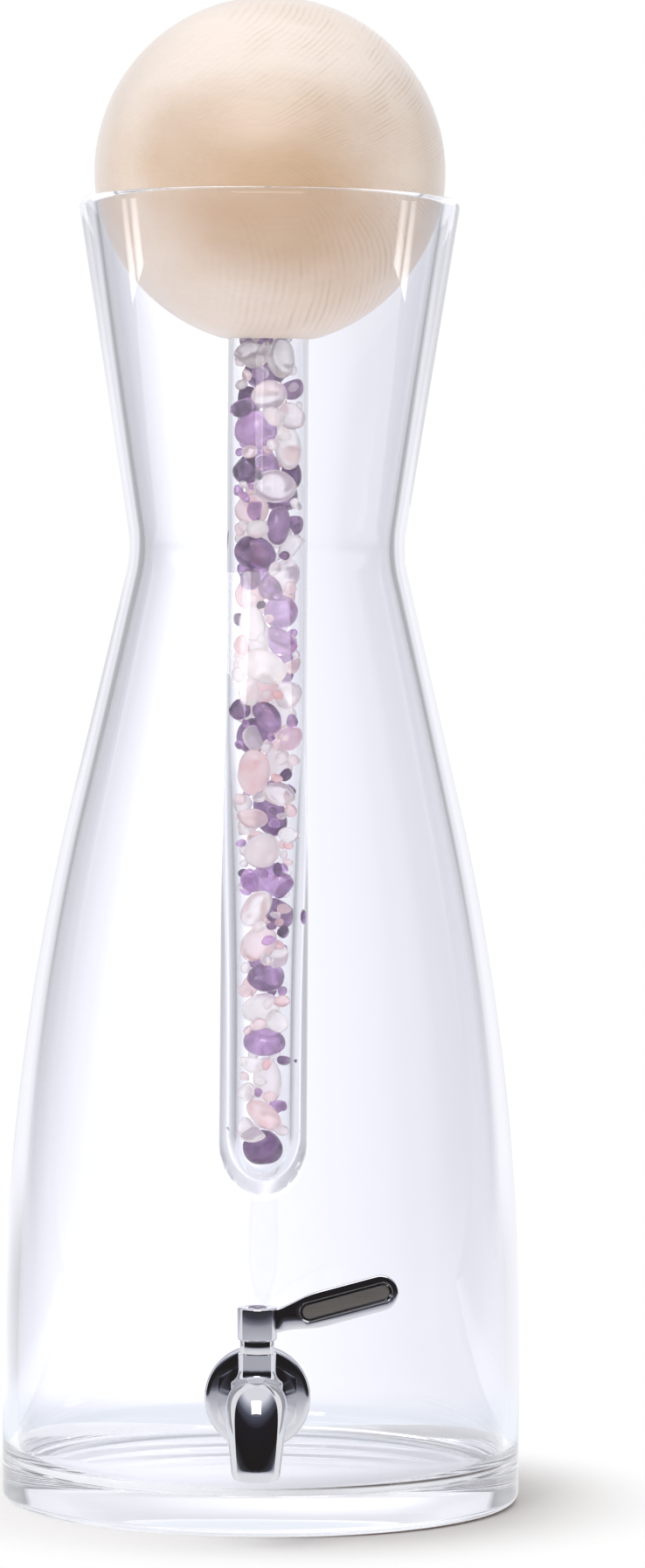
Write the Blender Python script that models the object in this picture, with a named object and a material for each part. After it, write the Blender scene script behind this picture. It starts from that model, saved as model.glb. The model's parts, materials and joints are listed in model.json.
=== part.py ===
"""Water dispenser: a waisted glass carafe with a quarter-turn ball-valve tap low on its front,
and a turned wooden ball as its lid, which carries a long glass vial of tumbled quartz stones.

Metres, +Z up. The origin is the middle of the base's underside, on the carafe's axis.
The tap is on the -Y side, and its closed lever points along +X.
"""

import math

import bmesh
import bpy
import numpy as np
from mathutils import Matrix, Vector

# Clearance that touching pieces keep, and how far a cutter runs past the face it opens
GAP = 0.0003
CUT_OVERRUN = 0.003

# Carafe
GLASS_HEIGHT = 0.4455
BASE_RADIUS = 0.0887
BASE_FILLET = 0.003
BASE_STRAIGHT = 0.047
BELLY_ARC_RADIUS = 0.840
CONE_ANGLE = math.radians(13.2)
WAIST_FILLET = 0.040
FLARE_ANGLE = math.radians(9.0)
RIM_RADIUS = 0.0654
RIM_WALL = 0.0057
WALL = 0.0050
FLOOR_THICKNESS = 0.012
FLOOR_FILLET = 0.009

# Lid, its socket and the vial that hangs from it
LID_RADIUS = 0.060
SOCKET_LAND = 0.0018
VIAL_NECK_RADIUS = 0.0138
VIAL_BELLY_RADIUS = 0.0151
VIAL_DROP = 0.2925
VIAL_INSERT = 0.028
VIAL_ROUND_HEIGHT = 0.020
VIAL_BELLY_HEIGHT = 0.095
VIAL_TAPER_HEIGHT = 0.075
BORE_UPPER_RADIUS = 0.0126
BORE_LOWER_RADIUS = 0.0093
BORE_FLOOR = 0.007
BORE_ROUND_HEIGHT = 0.014
BORE_LOWER_HEIGHT = 0.027
BORE_TAPER_HEIGHT = 0.108
STOPPER_PLUG_LENGTH = 0.010
STOPPER_CAP_THICKNESS = 0.003
STOPPER_CAP_OVERHANG = 0.0010
GRIP_RING_SECTION = 0.0010
GRIP_RING_FIRST = 0.007
GRIP_RING_PITCH = 0.011

# Stones
STONE_LIMIT = 36
STONE_LONG = 0.0074
STONE_WIDE = 0.0062
STONE_THICK = 0.0052
STONE_SIZE_SPREAD = 0.16
STONE_LUMP = 0.07
STONE_LUMP_WAVES = 1.6
STONE_SPOT_PITCH = 0.0018
STONE_SPOTS_ROUND = 18
STONE_SEED = 23

# Tap: pieces along its level axis
TAP_HEIGHT = 0.0470
SHANK_RADIUS = 0.0080
SHANK_BORE_RADIUS = 0.0050
SHANK_TAIL = 0.0030
GLASS_HOLE_CLEARANCE = 0.0007
ESCUTCHEON_RADIUS = 0.0174
ESCUTCHEON_HEIGHT = 0.0036
ESCUTCHEON_EDGE = 0.0012
FRONT_GASKET_RADIUS = 0.0164
FRONT_GASKET_CROWN = 0.0018
REAR_GASKET_RADIUS = 0.0130
REAR_GASKET_EDGE = 0.0018
WASHER_RADIUS = 0.0125
WASHER_THICKNESS = 0.0012
NUT_ACROSS_FLATS = 0.0220
NUT_THICKNESS = 0.0070
HEX_ACROSS_FLATS = 0.0255
HEX_THICKNESS = 0.0040
SPIGOT_RADIUS = 0.0072
SPIGOT_LENGTH = 0.0030

# Tap: valve, barrel and spout
VALVE_BALL_RADIUS = 0.0065
VALVE_BORE_RADIUS = 0.0035
SEAT_LIP = 0.0005
SEAT_THICKNESS = 0.0028
SEAT_BORE_RADIUS = 0.0038
BULB_RADIUS = 0.0120
BARREL_RADIUS = 0.00615
BARREL_FOOT_FILLET = 0.0050
BARREL_FOOT_RISE = 0.00125
BARREL_FOOT_SWEEP = math.radians(55)
SHELF_HEIGHT = 0.0098
SPOUT_START = 0.0030
SPOUT_REACH = 0.0130
SPOUT_BOTTOM = 0.0245
SPOUT_ROOT_RADIUS = 0.0102
SPOUT_TIP_RADIUS = 0.0073
SPOUT_BORE_ROOT = 0.0038
SPOUT_BORE_TIP = 0.0054
STEM_RADIUS = 0.0030
STEM_COLLAR_RADIUS = 0.0045
STEM_COLLAR_THICKNESS = 0.0012
TANG_WIDTH = 0.0024
TANG_LENGTH = 0.0044
TANG_DEPTH = 0.0019
STEM_SEAL_SECTION = 0.00065
GLAND_SPIGOT = 0.0020
GLAND_RADIUS = 0.00565
GLAND_HEIGHT = 0.0040

# Tap: lever
HUB_RADIUS = 0.00665
HUB_HEIGHT = 0.0106
HUB_ROUND = 0.0008
DRIVE_SIDE = 0.0038
DRIVE_HEIGHT = 0.0060
SCREW_RADIUS = 0.0012
SCREW_LENGTH = 0.0065
SCREW_HEAD_RADIUS = 0.0027
SCREW_HEAD_HEIGHT = 0.0016
SCREW_HEAD_SINK = 0.0005
PIN_RADIUS = 0.0006
PIN_CIRCLE = 0.0051
PIN_DROP = 0.0025
PIN_SEAT = 0.0030
LEVER_TURN = math.radians(90)
STOP_SLACK = math.radians(1)
LEVER_REACH = 0.0455
LEVER_TILT = math.radians(15.5)
LEVER_ROOT_HEIGHT = 0.0045
LEVER_NECK_WIDTH = 0.0062
LEVER_PADDLE_WIDTH = 0.0100
LEVER_NECK_END = 0.0075
LEVER_PADDLE_START = 0.0200
LEVER_THICKNESS = 0.0040
INLAY_START = 0.0175
INLAY_WIDTH = 0.0056
INLAY_MARGIN = 0.0024
INLAY_DEPTH = 0.0008
INLAY_SINK = 0.0001

# Facets round the turned pieces
GLASS_FACETS = 44
LID_FACETS = 32
VIAL_FACETS = 24
TAP_FACETS = 24
BALL_FACETS = 20
SMALL_FACETS = 16
SEAL_FACETS = 6

# Steps along the curves of their profiles
BASE_EDGE_STEPS = 2
FLOOR_EDGE_STEPS = 3
BELLY_STEPS = 7
WAIST_STEPS = 5
LIP_STEPS = 6
BULB_STEPS = 8
BARREL_FOOT_STEPS = 5
SPOUT_STEPS = 9
NOTCH_STEPS = 12
HUB_ROUND_STEPS = 3
LEVER_FLANK_STEPS = 8
LEVER_END_STEPS = 12
INLAY_END_STEPS = 8
VIAL_ROUND_STEPS = 7
BORE_ROUND_STEPS = 6
BORE_TAPER_STEPS = 6
LID_STEPS = 15
TOUCH_STEPS = 60
STONE_SPLIT_STEPS = 2
DIRECTION_SPLIT_STEPS = 3

# Edges that turn more than this stay sharp, and points closer than this are one
SHARP_ANGLE = math.radians(35)
MERGE_DISTANCE = 1e-7

FINISHES = {
    "clear_glass": ((0.93, 0.94, 0.97), 0.03, 0.0),
    "pale_wood": ((0.86, 0.72, 0.57), 0.50, 0.0),
    "polished_steel": ((0.72, 0.72, 0.74), 0.08, 1.0),
    "satin_grey": ((0.22, 0.21, 0.20), 0.45, 0.0),
    "clear_silicone": ((0.80, 0.80, 0.78), 0.45, 0.0),
    "valve_white": ((0.90, 0.90, 0.88), 0.35, 0.0),
    "amethyst": ((0.26, 0.13, 0.36), 0.12, 0.0),
    "rose_quartz": ((0.83, 0.55, 0.52), 0.15, 0.0),
    "clear_quartz": ((0.78, 0.77, 0.79), 0.10, 0.0),
}


def clear_scene():
    for old in list(bpy.data.objects):
        bpy.data.objects.remove(old, do_unlink=True)


def finish(name):
    """The named finish as a material, made once."""
    if name in bpy.data.materials:
        return bpy.data.materials[name]
    colour, roughness, metallic = FINISHES[name]
    material = bpy.data.materials.new(name)
    material.use_nodes = True
    shader = material.node_tree.nodes["Principled BSDF"]
    shader.inputs["Base Color"].default_value = (*colour, 1.0)
    shader.inputs["Roughness"].default_value = roughness
    shader.inputs["Metallic"].default_value = metallic
    return material


def frame(name, location, rotation=(0.0, 0.0, 0.0)):
    """An empty that carries the pieces on one axis."""
    empty = bpy.data.objects.new(name, None)
    empty.location = location
    empty.rotation_euler = rotation
    bpy.context.scene.collection.objects.link(empty)
    return empty


def place(name, bm, parent, finish_name=None):
    """The mesh as an object on its frame. With no finish it is a hidden cutter."""
    mesh = bpy.data.meshes.new(name)
    bmesh.ops.recalc_face_normals(bm, faces=bm.faces)
    bm.to_mesh(mesh)
    bm.free()
    piece = bpy.data.objects.new(name, mesh)
    piece.parent = parent
    bpy.context.scene.collection.objects.link(piece)
    if finish_name:
        mesh.materials.append(finish(finish_name))
        mesh.shade_smooth()
        mesh.set_sharp_from_angle(angle=SHARP_ANGLE)
    else:
        piece.hide_render = True
        piece.display_type = "WIRE"
    return piece


def combine(piece, operation, *tools):
    for tool in tools:
        modifier = piece.modifiers.new(f"{operation.lower()}_{tool.name}", "BOOLEAN")
        modifier.operation = operation
        modifier.object = tool
        modifier.solver = "EXACT"


def turned(profile, facets, ring=False):
    """A solid turned about local Z from (radius, height) points, closed on itself for a ring."""
    bm = bmesh.new()
    points = [bm.verts.new((radius, 0.0, height)) for radius, height in profile]
    ends = points[1:] + points[:1] if ring else points[1:]
    edges = [bm.edges.new(pair) for pair in zip(points, ends)]
    bmesh.ops.spin(
        bm,
        geom=points + edges,
        cent=(0.0, 0.0, 0.0),
        axis=(0.0, 0.0, 1.0),
        angle=math.tau,
        steps=facets,
        use_merge=True,
    )
    bmesh.ops.remove_doubles(bm, verts=bm.verts, dist=MERGE_DISTANCE)
    return bm


def rod(radius, low, high, facets=SMALL_FACETS):
    return turned([(0.0, low), (radius, low), (radius, high), (0.0, high)], facets)


def pipe(bore, radius, low, high, facets=TAP_FACETS):
    return turned([(bore, low), (radius, low), (radius, high), (bore, high)], facets, ring=True)


def seal_ring(section, middle, height, facets=SMALL_FACETS):
    """An O-ring round local Z."""
    turns = [math.tau * side / SEAL_FACETS for side in range(SEAL_FACETS)]
    profile = [(middle + section * math.cos(t), height + section * math.sin(t)) for t in turns]
    return turned(profile, facets, ring=True)


def extruded(outline, low, high):
    """A prism along local Z over (x, y) points."""
    bm = bmesh.new()
    face = bm.faces.new([bm.verts.new((x, y, low)) for x, y in outline])
    made = bmesh.ops.extrude_face_region(bm, geom=[face])["geom"]
    raised = [item for item in made if isinstance(item, bmesh.types.BMVert)]
    bmesh.ops.translate(bm, verts=raised, vec=(0.0, 0.0, high - low))
    return bm


def hexagon(across_flats):
    """Six corners with one straight up, so that two flats stand upright."""
    reach = across_flats / math.sqrt(3)
    turns = [math.radians(90 + 60 * corner) for corner in range(6)]
    return [(reach * math.cos(t), reach * math.sin(t)) for t in turns]


def block(size, middle):
    bm = bmesh.new()
    bmesh.ops.create_cube(bm, size=1.0)
    bmesh.ops.scale(bm, verts=bm.verts, vec=size)
    bmesh.ops.translate(bm, verts=bm.verts, vec=middle)
    return bm


def arc(middle, radius, start, end, steps):
    """Points on a circle, from angle start to angle end, both included."""
    turns = [start + (end - start) * step / steps for step in range(steps + 1)]
    return [(middle[0] + radius * math.cos(t), middle[1] + radius * math.sin(t)) for t in turns]


class Carafe:
    """The carafe's wall as (radius, height, lean) samples, and the radii that others fit to."""

    def __init__(self):
        self.wall = self.belly() + self.neck()
        self.outer = self.base_edge() + [(r, z) for r, z, lean in self.wall]
        self.inner = self.floor_edge() + [self.inside(*sample) for sample in self.wall]
        self.lip = self.rim_lip()

    def base_edge(self):
        middle = (BASE_RADIUS - BASE_FILLET, BASE_FILLET)
        return [(0.0, 0.0)] + arc(middle, BASE_FILLET, -math.pi / 2, 0.0, BASE_EDGE_STEPS)

    def belly(self):
        """Upright above the base, then one long arc that leans in to the cone."""
        middle = (BASE_RADIUS - BELLY_ARC_RADIUS, BASE_STRAIGHT)
        leans = [CONE_ANGLE * step / BELLY_STEPS for step in range(BELLY_STEPS + 1)]
        points = arc(middle, BELLY_ARC_RADIUS, 0.0, CONE_ANGLE, BELLY_STEPS)
        return [(r, z, -lean) for (r, z), lean in zip(points, leans)]

    def waist_corner(self):
        """Where the cone of the belly and the flare of the neck would meet."""
        foot_radius, foot_height, _ = self.belly()[-1]
        cone, flare = math.tan(CONE_ANGLE), math.tan(FLARE_ANGLE)
        height = foot_radius + cone * foot_height - RIM_RADIUS + flare * GLASS_HEIGHT
        height /= cone + flare
        return RIM_RADIUS - flare * (GLASS_HEIGHT - height), height

    def neck(self):
        """The waist's fillet, then the straight flare up to the rim."""
        corner_radius, corner_height = self.waist_corner()
        reach = WAIST_FILLET * math.tan((CONE_ANGLE + FLARE_ANGLE) / 2)
        start_radius = corner_radius + reach * math.sin(CONE_ANGLE)
        start_height = corner_height - reach * math.cos(CONE_ANGLE)
        middle_radius = start_radius + WAIST_FILLET * math.cos(CONE_ANGLE)
        middle_height = start_height + WAIST_FILLET * math.sin(CONE_ANGLE)
        samples = []
        for step in range(WAIST_STEPS + 1):
            lean = -CONE_ANGLE + (CONE_ANGLE + FLARE_ANGLE) * step / WAIST_STEPS
            radius = middle_radius - WAIST_FILLET * math.cos(lean)
            height = middle_height + WAIST_FILLET * math.sin(lean)
            samples.append((radius, height, lean))
        lip_drop = RIM_WALL / 2 * (1 + math.sin(FLARE_ANGLE))
        rim_radius = RIM_RADIUS - lip_drop * math.tan(FLARE_ANGLE)
        return samples + [(rim_radius, GLASS_HEIGHT - lip_drop, FLARE_ANGLE)]

    def thickness(self, height):
        """The wall thickens from the waist to the fire-polished rim."""
        waist = self.waist_corner()[1]
        share = (height - waist) / (GLASS_HEIGHT - waist)
        return WALL + (RIM_WALL - WALL) * min(1.0, max(0.0, share))

    def inside(self, radius, height, lean):
        thickness = self.thickness(height)
        return radius - thickness * math.cos(lean), height + thickness * math.sin(lean)

    def floor_edge(self):
        middle = (BASE_RADIUS - WALL - FLOOR_FILLET, FLOOR_THICKNESS + FLOOR_FILLET)
        fillet = arc(middle, FLOOR_FILLET, -math.pi / 2, 0.0, FLOOR_EDGE_STEPS)
        return [(0.0, FLOOR_THICKNESS)] + fillet

    def rim_lip(self):
        """The half round between the outer and the inner wall, without its two ends."""
        outer, inner = Vector(self.outer[-1]), Vector(self.inner[-1])
        middle = (outer + inner) / 2
        start = math.atan2(outer.y - middle.y, outer.x - middle.x)
        return arc(middle, (outer - middle).length, start, start + math.pi, LIP_STEPS)[1:-1]

    def outer_radius(self, height):
        radii, heights = np.array(self.outer[1:]).T
        return float(np.interp(height, heights, radii))

    def inner_radius(self, height):
        radii, heights = np.array(self.inner[1:]).T
        return float(np.interp(height, heights, radii))

    def lid_height(self):
        """The ball comes down until it would touch the mouth, and its middle is then here."""
        reach = LID_RADIUS + GAP
        radii, heights = np.array(self.inner + self.lip[::-1]).T
        corners = np.arange(len(radii))
        along = np.linspace(0.0, corners[-1], corners[-1] * TOUCH_STEPS + 1)
        radii, heights = np.interp(along, corners, radii), np.interp(along, corners, heights)
        under = radii < reach
        return float((heights[under] + np.sqrt(reach**2 - radii[under] ** 2)).max())


class TapStack:
    """Distances of the tap's pieces from the carafe's axis, and heights above the tap's axis."""

    def __init__(self, carafe):
        low = TAP_HEIGHT - FRONT_GASKET_RADIUS
        high = TAP_HEIGHT + REAR_GASKET_RADIUS
        self.glass_front = carafe.outer_radius(low)
        self.glass_back = math.sqrt(carafe.inner_radius(high) ** 2 - REAR_GASKET_RADIUS**2)
        self.gasket_front = self.glass_front + GAP + FRONT_GASKET_CROWN
        self.escutcheon_back = self.gasket_front + GAP
        self.escutcheon_front = self.escutcheon_back + ESCUTCHEON_HEIGHT
        self.hex_back = self.escutcheon_front + GAP
        self.hex_front = self.hex_back + HEX_THICKNESS
        self.body_back = self.hex_front + GAP
        self.spigot_front = self.body_back + SPIGOT_LENGTH
        self.seat_reach = VALVE_BALL_RADIUS + SEAT_LIP
        self.valve = self.spigot_front + GAP + self.seat_reach
        self.chamber_front = self.valve + self.seat_reach + GAP
        self.gasket_back = self.glass_back - GAP - REAR_GASKET_EDGE
        self.washer_front = self.gasket_back - GAP
        self.washer_back = self.washer_front - WASHER_THICKNESS
        self.nut_front = self.washer_back - GAP
        self.nut_back = self.nut_front - NUT_THICKNESS
        self.shank_end = self.nut_back - SHANK_TAIL

        self.chamber_radius = SPIGOT_RADIUS + GAP
        self.stem_foot = VALVE_BALL_RADIUS + GAP
        self.collar_foot = SHELF_HEIGHT + GAP
        self.collar_top = self.collar_foot + STEM_COLLAR_THICKNESS
        self.lower_seal = self.collar_top + GAP + STEM_SEAL_SECTION
        self.upper_seal = self.lower_seal + 2 * STEM_SEAL_SECTION + GAP
        self.gland_foot = self.upper_seal + STEM_SEAL_SECTION + GAP
        self.barrel_top = self.gland_foot + GLAND_SPIGOT
        self.gland_shoulder = self.barrel_top + GAP
        self.gland_top = self.gland_shoulder + GLAND_HEIGHT
        self.hub_foot = self.gland_top + GAP
        self.hub_top = self.hub_foot + HUB_HEIGHT
        self.drive_top = self.hub_foot + DRIVE_HEIGHT
        self.seal_middle = STEM_RADIUS + GAP + STEM_SEAL_SECTION
        self.pocket_radius = max(STEM_COLLAR_RADIUS, self.seal_middle + STEM_SEAL_SECTION) + GAP


def make_carafe(carafe, root, tap_frame):
    profile = carafe.outer + carafe.lip + carafe.inner[::-1]
    glass = place("carafe_glass", turned(profile, GLASS_FACETS), root, "clear_glass")
    margin = 2 * WALL
    hole_radius = SHANK_RADIUS + GLASS_HOLE_CLEARANCE
    low = carafe.inner_radius(TAP_HEIGHT) - margin
    high = carafe.outer_radius(TAP_HEIGHT) + margin
    hole = place("tap_hole_cutter", rod(hole_radius, low, high, TAP_FACETS), tap_frame)
    combine(glass, "DIFFERENCE", hole)


def make_gaskets(carafe, stack, root, tap_frame):
    """Soft rings that take up the glass's curve: the front one's back and the rear one's front."""
    bore = SHANK_RADIUS + GAP
    outside = [(r + GAP if r else r, z) for r, z in carafe.outer]
    outside += [(0.0, outside[-1][1])]
    outside_cutter = place("glass_outside_cutter", turned(outside, 2 * GLASS_FACETS), root)
    depth = stack.glass_front - FRONT_GASKET_RADIUS
    front = pipe(bore, FRONT_GASKET_RADIUS, depth, stack.gasket_front)
    front = place("front_gasket", front, tap_frame, "clear_silicone")
    combine(front, "DIFFERENCE", outside_cutter)

    cavity = [(r - GAP if r else r, z) for r, z in carafe.inner]
    cavity += [(0.0, cavity[-1][1])]
    cavity_tool = place("glass_inside_tool", turned(cavity, 2 * GLASS_FACETS), root)
    depth = carafe.inner_radius(TAP_HEIGHT) + WALL
    rear = pipe(bore, REAR_GASKET_RADIUS, stack.gasket_back, depth)
    rear = place("rear_gasket", rear, tap_frame, "clear_silicone")
    combine(rear, "INTERSECT", cavity_tool)


def make_fixings(stack, tap_frame):
    bore = SHANK_RADIUS + GAP
    crown_radius = HEX_ACROSS_FLATS / 2
    dish = [
        (bore, stack.escutcheon_back),
        (ESCUTCHEON_RADIUS, stack.escutcheon_back),
        (ESCUTCHEON_RADIUS, stack.escutcheon_back + ESCUTCHEON_EDGE),
        (crown_radius, stack.escutcheon_front),
        (bore, stack.escutcheon_front),
    ]
    place("escutcheon", turned(dish, TAP_FACETS, ring=True), tap_frame, "polished_steel")

    washer = pipe(bore, WASHER_RADIUS, stack.washer_back, stack.washer_front)
    place("rear_washer", washer, tap_frame, "polished_steel")

    nut = extruded(hexagon(NUT_ACROSS_FLATS), stack.nut_back, stack.nut_front)
    nut = place("lock_nut", nut, tap_frame, "polished_steel")
    thread = rod(bore, stack.nut_back - NUT_THICKNESS, stack.nut_front + NUT_THICKNESS, TAP_FACETS)
    combine(nut, "DIFFERENCE", place("nut_thread_cutter", thread, tap_frame))


def make_shank(stack, tap_frame):
    """The threaded tail with its hexagon, which screws into the back of the tap's body."""
    inside_hex = (stack.hex_back + stack.hex_front) / 2
    tail = rod(SHANK_RADIUS, stack.shank_end, inside_hex, TAP_FACETS)
    tail = place("tap_shank", tail, tap_frame, "polished_steel")
    collar = extruded(hexagon(HEX_ACROSS_FLATS), stack.hex_back, stack.hex_front)
    spigot = rod(SPIGOT_RADIUS, inside_hex, stack.spigot_front, TAP_FACETS)
    combine(tail, "UNION", place("hex_collar_tool", collar, tap_frame))
    combine(tail, "UNION", place("spigot_tool", spigot, tap_frame))
    low, high = stack.shank_end - SHANK_TAIL, stack.spigot_front + SPIGOT_LENGTH
    waterway = rod(SHANK_BORE_RADIUS, low, high, TAP_FACETS)
    combine(tail, "DIFFERENCE", place("shank_bore_cutter", waterway, tap_frame))


def spout_stations(first_radius, last_radius):
    """Middle, direction and radius along the bend from the valve down to the outlet."""
    first = Vector((SPOUT_START, 0.0))
    corner = Vector((SPOUT_REACH, 0.0))
    last = Vector((SPOUT_REACH, SPOUT_BOTTOM - TAP_HEIGHT))
    stations = []
    for step in range(SPOUT_STEPS + 1):
        t = step / SPOUT_STEPS
        middle = (1 - t) ** 2 * first + 2 * t * (1 - t) * corner + t**2 * last
        heading = 2 * (1 - t) * (corner - first) + 2 * t * (last - corner)
        radius = first_radius + (last_radius - first_radius) * t
        stations.append((middle, heading.normalized(), radius))
    return stations


def swept(stations, facets, overrun=0.0):
    """A round bar through the stations, in the upright plane of the tap's axis."""
    bm = bmesh.new()
    if overrun:
        middle, heading, radius = stations[-1]
        stations = stations + [(middle + overrun * heading, heading, radius)]
    rings = []
    for middle, heading, radius in stations:
        ring = []
        for facet in range(facets):
            turn = math.tau * facet / facets
            aside = radius * math.cos(turn)
            across = radius * math.sin(turn)
            forward = middle.x - across * heading.y
            up = middle.y + across * heading.x
            ring.append(bm.verts.new((aside, -forward, up)))
        rings.append(ring)
    for near, far in zip(rings, rings[1:]):
        for facet in range(facets):
            following = (facet + 1) % facets
            bm.faces.new((near[facet], near[following], far[following], far[facet]))
    bm.faces.new(rings[0][::-1])
    bm.faces.new(rings[-1])
    return bm


def make_tap_body(stack, tap_frame, valve_axis):
    """Bulb round the valve, barrel above it for the stem, and the spout that bends down."""
    bulb = [(0.0, stack.body_back), (BULB_RADIUS, stack.body_back)]
    bulb += arc((0.0, stack.valve), BULB_RADIUS, 0.0, math.pi / 2, BULB_STEPS)
    bulb[-1] = (0.0, stack.valve + BULB_RADIUS)
    body = place("tap_body", turned(bulb, TAP_FACETS), tap_frame, "polished_steel")

    foot_middle = (BARREL_RADIUS + BARREL_FOOT_FILLET, BULB_RADIUS + BARREL_FOOT_RISE)
    foot_start = math.pi + BARREL_FOOT_SWEEP
    foot = arc(foot_middle, BARREL_FOOT_FILLET, foot_start, math.pi, BARREL_FOOT_STEPS)
    barrel = [(0.0, 0.0), (foot[0][0], 0.0)] + foot
    barrel += [(BARREL_RADIUS, stack.barrel_top), (0.0, stack.barrel_top)]
    barrel = place("barrel_tool", turned(barrel, TAP_FACETS), valve_axis)

    bend = spout_stations(SPOUT_ROOT_RADIUS, SPOUT_TIP_RADIUS)
    spout = place("spout_tool", swept(bend, TAP_FACETS), valve_axis)
    combine(body, "UNION", barrel, spout)

    low = stack.body_back - SPIGOT_LENGTH
    chamber = rod(stack.chamber_radius, low, stack.chamber_front, TAP_FACETS)
    chamber = place("chamber_cutter", chamber, tap_frame)
    bend = spout_stations(SPOUT_BORE_ROOT, SPOUT_BORE_TIP)
    waterway = place("waterway_cutter", swept(bend, TAP_FACETS, CUT_OVERRUN), valve_axis)
    pocket_top = stack.barrel_top + GLAND_SPIGOT
    pocket = [
        (0.0, 0.0),
        (STEM_RADIUS + GAP, 0.0),
        (STEM_RADIUS + GAP, SHELF_HEIGHT),
        (stack.pocket_radius, SHELF_HEIGHT),
        (stack.pocket_radius, pocket_top),
        (0.0, pocket_top),
    ]
    pocket = place("stem_pocket_cutter", turned(pocket, TAP_FACETS), valve_axis)
    combine(body, "DIFFERENCE", chamber, waterway, pocket)


def make_seats(stack, tap_frame, valve_axis):
    """The two white rings that the valve's ball turns between."""
    clear = place("seat_ball_cutter", ball(VALVE_BALL_RADIUS + GAP), valve_axis)
    seats = {
        "inlet_seat": (stack.valve - stack.seat_reach, 1),
        "outlet_seat": (stack.valve + stack.seat_reach, -1),
    }
    for name, (back, towards_ball) in seats.items():
        low, high = sorted((back, back + towards_ball * SEAT_THICKNESS))
        ring = pipe(SEAT_BORE_RADIUS, SPIGOT_RADIUS, low, high)
        combine(place(name, ring, tap_frame, "valve_white"), "DIFFERENCE", clear)


def ball(radius):
    profile = arc((0.0, 0.0), radius, -math.pi / 2, math.pi / 2, BALL_FACETS // 2)
    profile[0], profile[-1] = (0.0, -radius), (0.0, radius)
    return turned(profile, BALL_FACETS)


def make_gland(stack, valve_axis):
    """The ring nut over the stem's seals. Its open notch holds the lever's stop pin."""
    bore = STEM_RADIUS + GAP
    spigot_radius = stack.pocket_radius - GAP
    profile = [
        (bore, stack.gland_foot),
        (spigot_radius, stack.gland_foot),
        (spigot_radius, stack.gland_shoulder),
        (GLAND_RADIUS, stack.gland_shoulder),
        (GLAND_RADIUS, stack.gland_top),
        (bore, stack.gland_top),
    ]
    gland = place("gland_ring", turned(profile, TAP_FACETS, ring=True), valve_axis, "polished_steel")
    margin = math.asin((PIN_RADIUS + GAP) / PIN_CIRCLE) + STOP_SLACK
    start = math.pi / 2 - LEVER_TURN - margin
    end = math.pi / 2 + margin
    inner = arc((0.0, 0.0), PIN_CIRCLE - PIN_RADIUS - GAP, start, end, NOTCH_STEPS)
    outer = arc((0.0, 0.0), GLAND_RADIUS + CUT_OVERRUN, end, start, NOTCH_STEPS)
    low = stack.gland_top - PIN_DROP - GAP
    notch = extruded(inner + outer, low, stack.hub_top)
    combine(gland, "DIFFERENCE", place("notch_cutter", notch, valve_axis))


def make_valve(stack, valve_axis):
    """Ball, stem and stem seals. The ball's bore lies across the flow while the lever is closed."""
    plug = place("valve_ball", ball(VALVE_BALL_RADIUS), valve_axis, "polished_steel")
    reach = 2 * VALVE_BALL_RADIUS
    bore = rod(VALVE_BORE_RADIUS, -reach, reach, TAP_FACETS)
    bmesh.ops.rotate(bore, verts=bore.verts, matrix=Matrix.Rotation(math.pi / 2, 3, "Y"))
    slot_width = TANG_WIDTH + 2 * GAP
    slot_floor = VALVE_BALL_RADIUS - TANG_DEPTH - GAP
    slot = block((slot_width, 2 * reach, reach), (0.0, 0.0, slot_floor + reach / 2))
    combine(
        plug,
        "DIFFERENCE",
        place("valve_bore_cutter", bore, valve_axis),
        place("valve_slot_cutter", slot, valve_axis),
    )

    shaft = [
        (0.0, stack.stem_foot),
        (STEM_RADIUS, stack.stem_foot),
        (STEM_RADIUS, stack.collar_foot),
        (STEM_COLLAR_RADIUS, stack.collar_foot),
        (STEM_COLLAR_RADIUS, stack.collar_top),
        (STEM_RADIUS, stack.collar_top),
        (STEM_RADIUS, stack.hub_foot),
        (0.0, stack.hub_foot),
    ]
    stem = place("valve_stem", turned(shaft, TAP_FACETS), valve_axis, "polished_steel")
    tang_foot = VALVE_BALL_RADIUS - TANG_DEPTH
    tang_top = stack.collar_foot
    tang = block((TANG_WIDTH, TANG_LENGTH, tang_top - tang_foot), (0.0, 0.0, (tang_foot + tang_top) / 2))
    drive_foot = stack.gland_foot
    drive_middle = (drive_foot + stack.drive_top) / 2
    drive = block((DRIVE_SIDE, DRIVE_SIDE, stack.drive_top - drive_foot), (0.0, 0.0, drive_middle))
    combine(stem, "UNION", place("tang_tool", tang, valve_axis), place("drive_tool", drive, valve_axis))
    tapped = rod(SCREW_RADIUS + GAP, stack.gland_foot, stack.hub_top)
    combine(stem, "DIFFERENCE", place("stem_thread_cutter", tapped, valve_axis))

    for name, height in (("lower_stem_seal", stack.lower_seal), ("upper_stem_seal", stack.upper_seal)):
        ring = seal_ring(STEM_SEAL_SECTION, stack.seal_middle, height)
        place(name, ring, valve_axis, "clear_silicone")


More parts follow.
